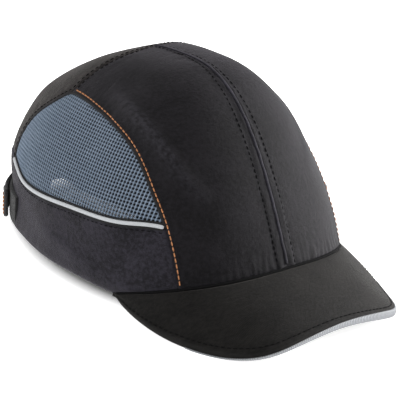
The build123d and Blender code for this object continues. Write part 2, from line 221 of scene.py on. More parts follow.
def mirrored(curve):
    return lambda s: curve(s) * (-1, 1)


def where(curve, test):
    """The place along a curve, from 0 to 1, where the test first stops being true."""
    low, high = 0.0, 1.0
    for _ in range(30):
        middle = (low + high) / 2
        if test(*unchart(curve(middle))):
            low = middle
        else:
            high = middle
    return low


def beside(curve, distance):
    """The line on the crown that runs a distance in mm to the left of another."""
    def moved(s):
        s = np.clip(np.asarray(s, float), 0.002, 0.998)
        place = curve(s)
        ahead = curve(s + 0.002) - curve(s - 0.002)
        across = unit(np.stack([-ahead[..., 1], ahead[..., 0]], -1)) * 0.002
        reach = np.linalg.norm(wall(place + across) - wall(place - across), axis=-1) / 2
        return place + across * (distance / reach)[..., None]
    return moved


def coons(bottom, top, left, right):
    """The patch that four curves bound, as a function of two grids of numbers."""
    def place(u, v):
        a, b = u[..., None], v[..., None]
        across = bottom(u) * (1 - b) + top(u) * b
        along = left(v) * (1 - a) + right(v) * a
        zero, one = np.zeros(1), np.ones(1)
        low = bottom(zero) * (1 - a) + bottom(one) * a
        high = top(zero) * (1 - a) + top(one) * a
        return across + along - low * (1 - b) - high * b
    return place


def of_bearings(start, end, low, high):
    """The patch between two bearings and two heights, which may change with the bearing."""
    low_at = low if callable(low) else (lambda bearing: low + 0 * bearing)
    high_at = high if callable(high) else (lambda bearing: high + 0 * bearing)

    def place(u, v):
        bearing = between(start, end, u)
        return chart(bearing, low_at(bearing) * (1 - v) + high_at(bearing) * v)
    return place


def brim_seam_height(bearing):
    return BRIM_ARCH * (1 - np.minimum(np.abs(bearing) / BRIM_SPREAD, 1.0) ** 2)


def hem_height(bearing):
    """The crown's lower edge: arched over the brim, a little raised over the ears, level at the rear."""
    rise = smooth_step((np.abs(bearing) - HEM_RISES[0]) / (HEM_RISES[1] - HEM_RISES[0]))
    fall = smooth_step((np.abs(bearing) - HEM_LEVEL[0]) / (HEM_LEVEL[1] - HEM_LEVEL[0]))
    return brim_seam_height(bearing) + HEM_RISE * rise * (1 - fall)


front_seam = seam(FRONT_SEAM)
mesh_foot = where(front_seam, lambda bearing, height: height < PIPING_STARTS)
waist_left = [front_seam(mesh_foot)] + [chart(*point) for point in WAIST_SEAM]
waist = through(np.array(waist_left + [place * (-1, 1) for place in reversed(waist_left[:-1])]))
piping_end = where(waist, lambda bearing, height: 0 < bearing < PIPING_ENDS)
band_end = where(waist, lambda bearing, height: 0 < bearing < BAND_ENDS)
rear_seam = through(np.array([waist(piping_end)] + [chart(*point) for point in REAR_SEAM]))
cross_seam = seam(both_sides(CROSS_SEAM))
arch = seam(both_sides(ARCH_SIDE + WAIST_SEAM[-2:]))


# ------------------------------------------------------------------ soft shape
# The cloth hangs a little off the crown's even shape: fuller over the left shoulder of the front and over the
# right of the rear, flatter behind the top. Each has its line of points, how far it goes, and its width.
SHOULDER = [(61, -75, 34), (52, -55, 73), (42, -41, 94), (31, -24, 108), (25, -7, 112), (22, 13, 113)]
SWELLS = [(SHOULDER, 2.5, 24),
          ([(6, 45, 110), (-5, 48, 108), (-17, 57, 102)], -2.0, 20),
          ([(-40, 78, 76), (-48, 80, 58), (-55, 80, 44)], 2.2, 17)]
SWELL_CENTRE = (0, 10, 25)


def swell(points):
    """Points moved away from the middle of the cap by the soft shape."""
    points = np.asarray(points, float)
    flat = points.reshape(-1, 3)
    moved = flat.copy()
    outward = unit(flat - SWELL_CENTRE)
    for stations, reach, width in SWELLS:
        line = through(stations)(np.linspace(0, 1, 24))
        apart = np.sqrt(((flat[:, None] - line[None]) ** 2).sum(-1)).min(1)
        moved += outward * (reach * bell(apart, width))[:, None]
    return moved.reshape(points.shape)


# ------------------------------------------------------------------ meshes
def quads(rows, columns, close_rows=False, close_columns=False):
    """The faces of a grid of points that are numbered row by row."""
    i, j = np.meshgrid(np.arange(rows if close_rows else rows - 1),
                       np.arange(columns if close_columns else columns - 1), indexing="ij")
    i, j, i2, j2 = i.ravel(), j.ravel(), (i.ravel() + 1) % rows, (j.ravel() + 1) % columns
    return np.stack([i * columns + j, i * columns + j2, i2 * columns + j2, i2 * columns + j], -1)


def tube_faces(rows, sides):
    """The faces of a closed tube whose rings of points are numbered one after the other."""
    last = (rows - 1) * sides
    ends = [list(range(sides)), list(range(last, last + sides))]
    return quads(rows, sides, close_columns=True).tolist() + ends


def slab(top, bottom):
    """Points and faces of the closed solid between two grids of points."""
    rows, columns = top.shape[:2]
    count = rows * columns
    index = np.arange(count).reshape(rows, columns)
    border = np.concatenate([index[0, :-1], index[:-1, -1], index[-1, :0:-1], index[:0:-1, 0]])
    following = np.roll(border, -1)
    upper = quads(rows, columns)
    sides = np.stack([border, border + count, following + count, following], -1)
    faces = np.concatenate([upper, upper[:, ::-1] + count, sides])
    return np.concatenate([top.reshape(-1, 3), bottom.reshape(-1, 3)]), faces.tolist()


def tube(centres, normals, half_wide, half_high, sides):
    """Points and faces of a closed tube with an oval section along a line of points."""
    ahead = unit(np.gradient(centres, axis=0))
    across = unit(np.cross(ahead, normals))
    turn = np.linspace(0, 2 * math.pi, sides, endpoint=False)
    c, s = np.cos(turn), np.sin(turn)
    wide = np.broadcast_to(half_wide, len(centres))[:, None, None]
    high = np.broadcast_to(half_high, len(centres))[:, None, None]
    ring = (centres[:, None] + across[:, None] * c[None, :, None] * wide
            + normals[:, None] * s[None, :, None] * high)
    return ring.reshape(-1, 3), tube_faces(len(centres), sides)


def ring_weave(line, girths):
    """Where each point of a tube lies on its cloth: how far along the line, and how far round in mm."""
    along = np.repeat(lengths(line), len(girths))
    return np.stack([along, np.tile(girths, len(line)), 0 * along], -1)


def grid_weave(along, across):
    """Where each point of a grid lies on its cloth."""
    return np.stack([along, across, 0 * along], -1).reshape(-1, 3)


def joined(parts):
    """Several lots of points and faces as one."""
    points, faces, start = [], [], 0
    for some_points, some_faces in parts:
        points.append(some_points)
        faces += [[i + start for i in face] for face in some_faces]
        start += len(some_points)
    return np.concatenate(points), faces


def piece(name, shape, material, replaces=(), body="cap", weave=None, pale_edges_and_painted_light=None):
    """An object of the cap, from points in mm and faces. It rides on a body and may replace CAD nodes.

    weave says where each point lies on its cloth. Given for one face of a slab, it holds for the other too,
    as the last argument does, which says how much paler the cloth is painted: paler seam edges, painted
    highlight along folds and painted shade in the knit's hollows.
    """
    points, faces = shape
    mesh = bpy.data.meshes.new(name)
    mesh.from_pydata(rest(swell(points)).tolist(), [], faces)
    build = bmesh.new()
    build.from_mesh(mesh)
    bmesh.ops.recalc_face_normals(build, faces=build.faces)
    build.to_mesh(mesh)
    build.free()
    mesh.shade_smooth()
    lay = mesh.attributes.new("weave", "FLOAT_VECTOR", "POINT")
    on_cloth = np.resize(points if weave is None else weave, (len(points), 3))
    lay.data.foreach_set("vector", on_cloth.astype(np.float32).ravel())
    if pale_edges_and_painted_light is not None:
        pale_and_painted_light_layer = mesh.attributes.new("pale_edges_and_painted_light", "FLOAT", "POINT")
        pale_and_painted_light_layer.data.foreach_set("value", np.resize(pale_edges_and_painted_light, len(points)).astype(np.float32))
    mesh.materials.append(material)
    made = bpy.data.objects.new(name, mesh)
    bpy.context.scene.collection.objects.link(made)
    if body:
        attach(made, body)
    if replaces:
        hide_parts(*replaces)
    return made


def marks(length, spacing, fine=(0.3, 0.65, 1.1, 1.7, 2.5, 3.6)):
    """Numbers from 0 to 1 along a length in mm: close together near both ends and even between."""
    ends = np.array((0.0,) + tuple(fine))
    count = max(int((length - 2 * ends[-1]) / spacing), 2)
    middle = np.linspace(ends[-1], length - ends[-1], count + 1)[1:-1]
    return np.concatenate([ends, middle, (length - ends)[::-1]]) / length


def ripple(points, wavelength, seed):
    """Soft unevenness from about -1 to 1 that is the same on every run."""
    random = np.random.RandomState(seed)
    total = np.zeros(points.shape[:-1])
    for _ in range(7):
        direction = unit(random.normal(size=3))
        pace = 2 * math.pi / (wavelength * random.uniform(0.65, 1.5))
        total += np.sin(points @ direction * pace + random.uniform(0, 2 * math.pi))
    return total / 3.5


def near_line(points, line, gentle, steep):
    """1 on a line of points, falling away to its ends, gently on one side of it and steeply on the other."""
    flat = points.reshape(-1, 3)
    apart = np.linalg.norm(flat[:, None] - line[None], axis=-1)
    nearest = apart.argmin(axis=1)
    turned = np.cross(np.gradient(line, axis=0)[nearest], flat - line[nearest])
    width = np.where(np.sum(turned * flat, axis=1) < 0, gentle, steep)
    share = np.sin(math.pi * nearest / (len(line) - 1)) ** 0.6
    return (bell(apart.min(axis=1), width) * share).reshape(points.shape[:-1])


def cloth_grid(patch, side, spacing):
    """A grid of places over a patch, its points, how far each is from the four edges, and its weave."""
    across_line = wall(patch(np.linspace(0, 1, 60), np.full(60, 0.5)))
    upward_line = wall(patch(np.full(60, 0.5), np.linspace(0, 1, 60)))
    u, v = np.meshgrid(marks(lengths(across_line)[-1], spacing), marks(lengths(upward_line)[-1], spacing))
    places = patch(u, v)
    skin = wall(places)
    across = lengths(skin)
    upward = lengths(skin.swapaxes(0, 1)).swapaxes(0, 1)
    edges = (across, across[:, -1:] - across, upward, upward[-1:] - upward)
    return places * (side, 1), skin * (side, 1, 1), edges, grid_weave(across, upward)


CLOTH_SPACING = 1.15
ROLL, ROLL_WIDTH = 0.75, 1.0
PUCKER, PUCKER_REACH, PUCKER_WAVE = 0.352, 6.0, 7.5
DRAPE, DRAPE_REACH, DRAPE_WAVE = 0.22, 15.0, 42.0


def cloth_piece(name, patch, side, material, replaces, seed, raised=None, fold_highlight=None):
    """A sewn panel: it rolls under along its seams, puckers beside them and is softly uneven between."""
    places, skin, edges, weave = cloth_grid(patch, side, CLOTH_SPACING)
    edge = np.minimum.reduce(edges)
    top = -ROLL * bell(edge, ROLL_WIDTH)
    near_seam = np.exp(-edge / PUCKER_REACH) * (1 - np.exp(-edge / 1.5))
    top += PUCKER * near_seam * ripple(skin, PUCKER_WAVE, seed)
    top += DRAPE * (1 - np.exp(-edge / DRAPE_REACH)) * ripple(skin, DRAPE_WAVE, seed + 1)
    if raised is not None:
        top += raised(skin, edges)
    bottom = np.full_like(top, -FABRIC)
    shape = slab(crown(places, top), crown(places, bottom))
    # The cloth is painted paler along the rolled seam edges.
    pale_edges_and_painted_light = bell(edge - 0.9, 0.8)
    # Painted highlight along a soft fold, on top of the paler seam edges.
    if fold_highlight is not None:
        pale_edges_and_painted_light = pale_edges_and_painted_light + fold_highlight(skin)
    piece(name, shape, material, replaces, weave=weave,
          pale_edges_and_painted_light=np.concatenate([pale_edges_and_painted_light.ravel(), 0 * pale_edges_and_painted_light.ravel()]))


STITCH_SHARE = np.array([0.0, 0.08, 0.25, 0.5, 0.75, 0.92, 1.0])
STITCH_GIRTH = np.array([0.25, 0.75, 1.0, 1.05, 1.0, 0.75, 0.25])
STITCH_LIFT = np.array([-0.9, -0.1, 0.45, 0.6, 0.45, -0.1, -0.9])
STITCH_SIDES = 6


def stitches(line, normals, length=2.5, gap=0.9, radius=0.3):
    """Points and faces of a row of stitches along a line of points. Their ends dive into the cloth."""
    travelled = lengths(line)
    starts = np.arange(gap, travelled[-1] - length - gap, length + gap)
    lift = STITCH_LIFT * radius
    along = starts[:, None] + STITCH_SHARE * length
    read = lambda values: np.stack([np.interp(along, travelled, values[:, k]) for k in range(3)], -1)
    centres, up = read(line), unit(read(normals))
    ahead = unit(np.gradient(centres, axis=1))
    across = unit(np.cross(ahead, up))
    turn = np.linspace(0, 2 * math.pi, STITCH_SIDES, endpoint=False)
    thick = radius * STITCH_GIRTH[None, :, None, None]
    ring = (centres + up * lift[None, :, None])[:, :, None] + thick * (
        across[:, :, None] * np.cos(turn)[:, None] + up[:, :, None] * np.sin(turn)[:, None])
    one = tube_faces(len(STITCH_SHARE), STITCH_SIDES)
    per_stitch = len(STITCH_SHARE) * STITCH_SIDES
    faces = [[i + per_stitch * n for i in face] for n in range(len(starts)) for face in one]
    return ring.reshape(-1, 3), faces


def crown_stitches(curve, side=1, offset=0.0, **how):
    """A row of stitches along a curve of the chart."""
    places = curve(np.linspace(0, 1, 500)) * (side, 1)
    return stitches(crown(places, offset), crown_normal(places), **how)


# ------------------------------------------------------------------ materials
def add(tree, kind, inputs=None, **settings):
    """A shader node with its settings, and its inputs as values or as links from other sockets."""
    made = tree.nodes.new(kind)
    for key, value in settings.items():
        setattr(made, key, value)
    for key, value in (inputs or {}).items():
        if isinstance(value, bpy.types.NodeSocket):
            tree.links.new(value, made.inputs[key])
        else:
            made.inputs[key].default_value = value
    return made


def maths(tree, operation, first, second=0.0):
    return add(tree, "ShaderNodeMath", {0: first, 1: second}, operation=operation).outputs[0]


def times(tree, first, second):
    return maths(tree, "MULTIPLY", first, second)


def plus(tree, first, second, factor=1.0):
    """The first plus the second times a factor."""
    return maths(tree, "ADD", first, times(tree, second, factor))


def start_material(name, **sockets):
    """A material with its Principled shader's sockets set by name."""
    made = bpy.data.materials.new(name)
    made.use_nodes = True
    shader = made.node_tree.nodes["Principled BSDF"]
    for key, value in sockets.items():
        shader.inputs[key.replace("_", " ")].default_value = value
    return made, made.node_tree, shader


def shade(colour, factor):
    return tuple(min(c * factor, 1.0) for c in colour) + (1.0,)


def surface(tree, shader, colour, height, strength, depth):
    """Links a colour, and a bump from a height that goes a depth in mm deep."""
    tree.links.new(colour, shader.inputs["Base Color"])
    bump = add(tree, "ShaderNodeBump", {"Height": height, "Strength": strength, "Distance": depth * MM})
    tree.links.new(bump.outputs[0], shader.inputs["Normal"])


def pale_edges_and_painted_light_of(tree):
    return add(tree, "ShaderNodeAttribute", attribute_name="pale_edges_and_painted_light").outputs["Fac"]


def lay_of(tree):
    return add(tree, "ShaderNodeAttribute", attribute_name="weave").outputs["Vector"]


def noise(tree, where_from, scale, detail=3.0, rough=0.6):
    return add(tree, "ShaderNodeTexNoise", {"Vector": where_from, "Scale": scale, "Detail": detail,
                                            "Roughness": rough}).outputs["Fac"]


def blend_colours(tree, factor, first, second):
    made = add(tree, "ShaderNodeMix", {"Factor": factor}, data_type="RGBA")
    for index, value in ((6, first), (7, second)):
        if isinstance(value, bpy.types.NodeSocket):
            tree.links.new(value, made.inputs[index])
        else:
            made.inputs[index].default_value = value
    return made.outputs[2]


def ramp(tree, factor, low, high):
    """0 below the low value, 1 over the high one."""
    return add(tree, "ShaderNodeMapRange", {"Value": factor, "From Min": low, "From Max": high}).outputs[0]


def waves(tree, lay, pitch_x, pitch_y, slant=0.0):
    """Two sine waves across and along the weave, as a pair of sockets from -1 to 1."""
    parts = add(tree, "ShaderNodeSeparateXYZ", {0: lay})
    x, y = parts.outputs[0], parts.outputs[1]
    if slant:
        x = plus(tree, x, y, slant)
    return (maths(tree, "SINE", times(tree, x, 2 * math.pi / pitch_x)),
            maths(tree, "SINE", times(tree, y, 2 * math.pi / pitch_y)))


def woven(name, colour, pitch=0.7, mottle=0.75, paling=2.6, warmth=(1.0, 1.0, 1.0), **sockets):
    """Woven cloth: crossing threads painted paler where they rise (painted highlight), fine melange, broad
    soft variation, paler seam edges and a painted highlight along folds.
    """
    made, tree, shader = start_material(name, **sockets)
    lay = lay_of(tree)
    warp, weft = waves(tree, lay, pitch, pitch * 1.15)
    threads = times(tree, warp, weft)
    fine = noise(tree, lay, 1.6, 2.0, 0.7)
    slubs = noise(tree, lay, 0.42, 3.0, 0.65)
    broad = noise(tree, lay, 0.045, 3.0, 0.55)
    mixed = plus(tree, plus(tree, times(tree, fine, 0.3), slubs, 0.4), broad, 0.3)
    tinted = tuple(c * w for c, w in zip(colour, warmth))
    melange = ramp(tree, mixed, 0.43, 0.57)
    body = blend_colours(tree, melange, shade(colour, 1 - mottle), shade(tinted, 1 + mottle))
    # Painted highlight: the threads are painted paler where they cross over.
    crossing_highlight = times(tree, ramp(tree, threads, -0.6, 1.0), 0.35)
    highlighted = blend_colours(tree, crossing_highlight, body, shade(colour, 1.9))
    # Paler seam edges and the painted highlight along folds, in patches.
    patchy = times(tree, pale_edges_and_painted_light_of(tree), ramp(tree, noise(tree, lay, 0.35), 0.35, 0.75))
    final = blend_colours(tree, times(tree, patchy, 0.5), highlighted, shade(colour, paling))
    height = plus(tree, plus(tree, times(tree, threads, 0.5), fine, 0.9), slubs, 2.6)
    surface(tree, shader, final, height, 0.8, 0.16)
    tree.links.new(ramp(tree, fine, -0.6, 1.1), shader.inputs["Roughness"])
    return made


def ribbed(name, colour, pitch, depth, across=False, painted_shade_contrast=0.5, **sockets):
    """Tape, webbing or piping with ribs across or along it, painted darker in the rib valleys and paler on
    the crests (painted shade).
    """
    made, tree, shader = start_material(name, **sockets)
    lay = lay_of(tree)
    one, other = waves(tree, lay, pitch, pitch * 1.6)
    rib, cross = (other, one) if across else (one, other)
    fine = noise(tree, lay, 1.3, 3.0, 0.7)
    height = maths(tree, "ADD", rib, plus(tree, fine, cross, 0.3))
    # Painted shade: darker in the rib valleys, paler on the crests.
    tone = ramp(tree, height, -0.9, 2.0)
    final = blend_colours(tree, tone, shade(colour, 1 - painted_shade_contrast), shade(colour, 1 + painted_shade_contrast * 0.5))
    surface(tree, shader, final, height, 0.9, depth)
    return made


def knitted(name, crest, shaded_valley, **sockets):
    """Open knit: rib crests painted pale and valleys and hole walls painted dark (painted shade), and fine
    plies along the yarn.
    """
    made, tree, shader = start_material(name, **sockets)
    lay = lay_of(tree)
    ply, _ = waves(tree, lay, 0.55, 0.45, slant=0.6)
    fine = noise(tree, lay, 1.1, 3.0, 0.7)
    uneven = plus(tree, pale_edges_and_painted_light_of(tree), maths(tree, "SUBTRACT", fine, 0.5), 0.9)
    body = blend_colours(tree, ramp(tree, uneven, 0.0, 1.0), shade(shaded_valley, 1), shade(crest, 1))
    fading = ramp(tree, noise(tree, lay, 0.06), 0.3, 0.7)
    faded = blend_colours(tree, fading, (0.86, 0.88, 0.90, 1), (1, 1, 1, 1))
    final = add(tree, "ShaderNodeMix", {"Factor": 1.0}, data_type="RGBA", blend_type="MULTIPLY")
    tree.links.new(body, final.inputs[6])
    tree.links.new(faded, final.inputs[7])
    surface(tree, shader, final.outputs[2], plus(tree, fine, ply, 0.5), 0.8, 0.07)
    return made


def fuzzy(name, colour, scale, depth, painted_shade_contrast=0.45, **sockets):
    """Terry, pile or brushed foam cover: small tufts, painted darker in the hollows between them (painted
    shade) and unevenly toned.
    """
    made, tree, shader = start_material(name, **sockets)
    lay = lay_of(tree)
    cells = add(tree, "ShaderNodeTexVoronoi", {"Vector": lay, "Scale": scale}).outputs["Distance"]
    soft = noise(tree, lay, scale * 2.2, 3.0, 0.7)
    height = maths(tree, "SUBTRACT", times(tree, soft, 0.8), cells)
    # Painted shade: darker in the hollows between tufts, paler on their tops.
    tone = ramp(tree, height, -0.6, 0.5)
    final = blend_colours(tree, tone, shade(colour, 1 - painted_shade_contrast), shade(colour, 1 + painted_shade_contrast))
    surface(tree, shader, final, height, 1.0, depth)
    return made


def moulded(name, colour, **sockets):
    """Moulded plastic: faint spark-eroded grain, flow variation and small scuffs."""
    made, tree, shader = start_material(name, **sockets)
    place = add(tree, "ShaderNodeTexCoord").outputs["Object"]
    grain = noise(tree, place, 2600.0, 2.0)
    flow = noise(tree, place, 22.0, 3.0)
    scuffs = add(tree, "ShaderNodeTexNoise", {"Vector": place, "Scale": 140.0, "Detail": 6.0,
                                              "Distortion": 1.5})
    scuff = ramp(tree, scuffs.outputs["Fac"], 0.6, 0.72)
    body = blend_colours(tree, ramp(tree, flow, 0.3, 0.7), shade(colour, 0.85), shade(colour, 1.2))
    final = blend_colours(tree, times(tree, scuff, 0.35), body, shade(colour, 2.0))
    rough = maths(tree, "ADD", times(tree, scuff, 0.2), maths(tree, "MULTIPLY_ADD", flow, 0.2))
    tree.links.new(maths(tree, "ADD", rough, 0.32), shader.inputs["Roughness"])
    surface(tree, shader, final, grain, 0.5, 0.05)
    return made


def twisted(name, colour, **sockets):
    """Sewing thread: fine slanting plies, painted paler on their crests (painted highlight) among random
    fuzz.
    """
    made, tree, shader = start_material(name, **sockets)
    lay = lay_of(tree)
    ply, _ = waves(tree, lay, 0.35, 0.35, slant=1.0)
    fuzz = noise(tree, lay, 2.5, 3.0)
    # Painted highlight on the ply crests, mixed with random fuzz.
    tone = ramp(tree, plus(tree, ply, fuzz, 2.0), 0.0, 2.0)
    final = blend_colours(tree, tone, shade(colour, 0.6), shade(colour, 1.25))
    surface(tree, shader, final, ply, 0.6, 0.05)
    return made


SHEEN = dict(Specular_IOR_Level=0.08, Sheen_Weight=0.09, Sheen_Roughness=0.42)
COOL, BROWN = (1.0, 0.94, 1.06, 1), (1.0, 0.94, 0.90, 1)
shell_cloth = woven("shell_cloth", (0.0044, 0.0042, 0.0051), paling=4.0, warmth=(1.05, 0.99, 1.0),
                    Sheen_Tint=COOL, **SHEEN)
rear_cloth = woven("rear_cloth", (0.0110, 0.0100, 0.0100), warmth=(1.08, 0.98, 0.97),
                   Sheen_Tint=BROWN, **SHEEN)
band_cloth = woven("band_cloth", (0.0115, 0.0110, 0.0145), warmth=(1.03, 0.99, 1.03),
                   Sheen_Tint=COOL, **SHEEN)
brim_cloth = woven("brim_cloth", (0.0040, 0.0039, 0.0038), warmth=(1.06, 1.0, 0.95),
                   Sheen_Tint=BROWN, **SHEEN)
# The second colour is the painted shade of the knit's valleys and hole walls.
mesh_yarn = knitted("mesh_yarn", (0.190, 0.240, 0.310), (0.018, 0.027, 0.042), Roughness=0.7,
                    Specular_IOR_Level=0.25, Sheen_Weight=0.08, Sheen_Roughness=0.4)
piping_cloth = ribbed("piping_cloth", (0.40, 0.415, 0.435), 0.55, 0.06, painted_shade_contrast=0.18, Roughness=0.6,
                      Sheen_Weight=0.1)
edge_tape = ribbed("edge_tape", (0.008, 0.008, 0.009), 0.7, 0.08, Roughness=0.8, Specular_IOR_Level=0.25)
seam_tape = ribbed("seam_tape", (0.022, 0.021, 0.022), 0.9, 0.1, across=True, Roughness=0.75)
webbing = ribbed("webbing", (0.017, 0.017, 0.019), 1.3, 0.16, Roughness=0.6, Specular_IOR_Level=0.35,
                 Sheen_Weight=0.1)
silver_trim = ribbed("silver_trim", (0.26, 0.27, 0.285), 1.25, 0.12, painted_shade_contrast=0.4, Roughness=0.42,
                     Metallic=0.3, Specular_IOR_Level=0.4)
terry = fuzzy("terry", (0.022, 0.022, 0.024), 0.9, 0.35, Roughness=0.95, Sheen_Weight=0.35,
              Sheen_Roughness=0.6)
pad_cover = fuzzy("pad_cover", (0.035, 0.036, 0.039), 0.8, 0.22, painted_shade_contrast=0.35, Roughness=0.9,
                  Sheen_Weight=0.25)
pile = fuzzy("pile", (0.009, 0.009, 0.010), 1.1, 0.4, painted_shade_contrast=0.6, Roughness=0.95, Sheen_Weight=0.12)
hook_plastic = fuzzy("hook_plastic", (0.02, 0.02, 0.021), 1.4, 0.3, Roughness=0.4)
label_cloth = woven("label_cloth", (0.62, 0.61, 0.58), pitch=0.5, mottle=0.05, paling=0.8, Sheen_Weight=0.05)
dark_thread = twisted("dark_thread", (0.0030, 0.0030, 0.0033), Roughness=0.9, Specular_IOR_Level=0.08)
orange_thread = twisted("orange_thread", (0.40, 0.175, 0.075), Roughness=0.6, Specular_IOR_Level=0.2)
insert_plastic = moulded("insert_plastic", (0.018, 0.018, 0.020), Specular_IOR_Level=0.5)
board_plastic = moulded("board_plastic", (0.006, 0.006, 0.006), Specular_IOR_Level=0.1)


# ------------------------------------------------------------------ crown panels
CREASE = seam([(110, 100.5), (96, 98.5), (72, 93.6), (56, 86), (44, 74.7), (35, 63.4), (28, 55)])
BAND_CREASE = seam([(114, 19), (99.4, 17), (91.2, 16.3), (82.4, 14), (71, 10.5)])
PLATEAU, PLATEAU_HALF = 0.35, 6.3
GATHER, GATHER_REACH, GATHER_WAVE = 0.24, 8.0, 4.7
NEAR_FOLD, FAR_FOLD, BAND_FOLD = 2.1, 0.6, 1.1


def plateau_narrowing(height):
    """How much narrower the seam allowance beside the centre seam gets towards the top."""
    return 1 - 0.6 * smooth_step((height - 45) / 62)


def fold(line, side, gentle, steep):
    """A soft fold in the cloth of one side: gentle on its low side and steep on its high side."""
    places = wall(line(np.linspace(0, 1, 60)) * (side, 1))
    widths = (gentle, steep) if side < 0 else (steep, gentle)
    return lambda skin: near_line(skin, places, *widths)


def front_relief(side):
    """How a front panel stands: a raised seam allowance at the centre, a lapped side, gathers and a fold."""
    ridge = fold(CREASE, side, 6.5, 4.0)

    def relief(skin, edges):
        aside = np.abs(skin[..., 0]) / plateau_narrowing(skin[..., 2])
        allowance = PLATEAU * (1 - smooth_step((aside - PLATEAU_HALF + 0.7) / 1.4))
        groove = 0.18 * bell(aside - PLATEAU_HALF, 0.6)
        lapped = 0.35 * (1 - smooth_step((edges[0] - 2.2) / 1.6))
        along = edges[0] + 1.5 * ripple(skin, 15, 3)
        gathers = GATHER * np.exp(-edges[2] / GATHER_REACH) * wave(along, GATHER_WAVE)
        return allowance + lapped - groove + gathers + (NEAR_FOLD if side < 0 else FAR_FOLD) * ridge(skin)
    return relief


def fold_highlight(line, side, amount, gentle, steep):
    """Painted highlight along a fold: how much paler the cloth is painted along it, most on the wearer's
    right.
    """
    pale = fold(line, side, gentle, steep)
    return lambda skin: amount * (1.0 if side < 0 else 0.4) * pale(skin)


def band_relief(side):
    ridge = fold(BAND_CREASE, side, 6.0, 4.0)
    return lambda skin, edges: BAND_FOLD * ridge(skin)


def front_patch():
    hem = lambda s: chart(FRONT_SEAM[0][0] * (1 - s), brim_seam_height(FRONT_SEAM[0][0] * (1 - s)))
    foot, head = chart(0, BRIM_ARCH), chart(*CROSS_SEAM[-1])
    centre = lambda s: between(foot, head, np.asarray(s, float)[..., None])
    return coons(hem, stretch(cross_seam, 0, 0.5), front_seam, centre)


def rear_patch():
    return coons(stretch(waist, piping_end, 1 - piping_end), cross_seam, rear_seam, mirrored(rear_seam))


def band_patch():
    start, end = FRONT_SEAM[0][0], ARCH_SIDE[0][0]
    hem = lambda s: chart(between(start, end, s), hem_height(between(start, end, s)))
    return coons(hem, stretch(waist, 0, band_end), stretch(front_seam, 0, mesh_foot), seam(ARCH_SIDE))


for side, hand in HANDS:
    cloth_piece(f"front_cloth_{hand}", front_patch(), side, shell_cloth, [f"front_panel_{hand}"],
                11 + side, front_relief(side), fold_highlight(CREASE, side, 3.4, 6.5, 2.4))
    cloth_piece(f"band_cloth_{hand}", band_patch(), side, band_cloth, [f"side_band_{hand}"],
                21 + side, band_relief(side), fold_highlight(BAND_CREASE, side, 1.0, 12.0, 2.4))
cloth_piece("rear_cloth_panel", rear_patch(), 1, rear_cloth, ["rear_panel"], 31)

# ------------------------------------------------------------------ mesh windows
KNIT_Y, KNIT_RISE = 2.1, 2.1
KNIT_START, KNIT_END, KNIT_TOP = -92, 96, 95
HOLE_SIDES = 8
HOLE_SHARE = 0.60
SHOULDER_SHARE = 0.22
OUTLINE_REACH, OUTLINE_SINK = 0.012, 0.018
EDGING_WIDE, EDGING_HIGH = 0.95, 0.55
PIPING_WIDE, PIPING_HIGH, PIPING_LIFT = 1.1, 1.0, 0.55
FLANGE_WIDE, FLANGE_HIGH, FLANGE_LIFT = 2.4, 0.38, 0.12


def section_places(depths, rises):
    """Chart places on the left side, at each distance y and each length up the wall from the hem's plane."""
    heights = np.linspace(20, 100, 220)
    low, high = np.full((len(depths), len(heights)), 20.0), np.full((len(depths), len(heights)), 179.0)
    for _ in range(34):
        middle = (low + high) / 2
        ahead = wall(chart(middle, heights[None]))[..., 1] < depths[:, None]
        low, high = np.where(ahead, middle, low), np.where(ahead, high, middle)
    places = chart(low, heights[None])
    travelled = lengths(wall(places))
    return np.stack([[np.interp(rises, travelled[i], places[i, :, k]) for i in range(len(depths))]
                     for k in range(2)], -1)


def inside_outline(places, outline):
    """Whether each place lies inside a closed outline, and how far it is from it, in chart units."""
    start, end = outline, np.roll(outline, -1, axis=0)
    x, y = places[..., 0, None], places[..., 1, None]
    straddles = (start[:, 1] > y) != (end[:, 1] > y)
    crossing = start[:, 0] + (y - start[:, 1]) / (end[:, 1] - start[:, 1] + 1e-15) * (end[:, 0] - start[:, 0])
    inside = (straddles & (x < crossing)).sum(-1) % 2 == 1
    return inside, np.hypot(x - start[:, 0], y - start[:, 1]).min(-1)


def window_outline():
    s = np.linspace(0, 1, 120)
    foot = stretch(front_seam, mesh_foot, MESH_TIP)(s)
    tip = between(front_seam(MESH_TIP), rear_seam(MESH_TIP), np.linspace(0, 1, 10)[:, None])
    back = stretch(rear_seam, MESH_TIP, 0)(s)
    low = stretch(waist, piping_end, 0)(s)
    return np.concatenate([foot[:-1], tip[:-1], back[:-1], low[:-1]])


def knit_cells():
    """The cells of the knit that the window shows: the chart places of their corners and edge middles."""
    depths = np.arange(KNIT_START, KNIT_END, KNIT_Y / 2)
    rises = np.arange(0, KNIT_TOP, KNIT_RISE / 2)
    grid = section_places(depths, rises)
    rows, columns = (len(depths) - 1) // 2, (len(rises) - 1) // 2
    index = np.arange(len(depths) * len(rises)).reshape(len(depths), len(rises))
    i, j = [a.ravel() * 2 for a in np.meshgrid(np.arange(rows), np.arange(columns), indexing="ij")]
    around = [(0, 0), (1, 0), (2, 0), (2, 1), (2, 2), (1, 2), (0, 2), (0, 1)]
    ring = np.stack([index[i + a, j + b] for a, b in around], -1)
    middle = grid[i + 1, j + 1]
    inside, apart = inside_outline(middle, window_outline())
    kept = inside | (apart < OUTLINE_REACH)
    return grid.reshape(-1, 2), ring[kept]


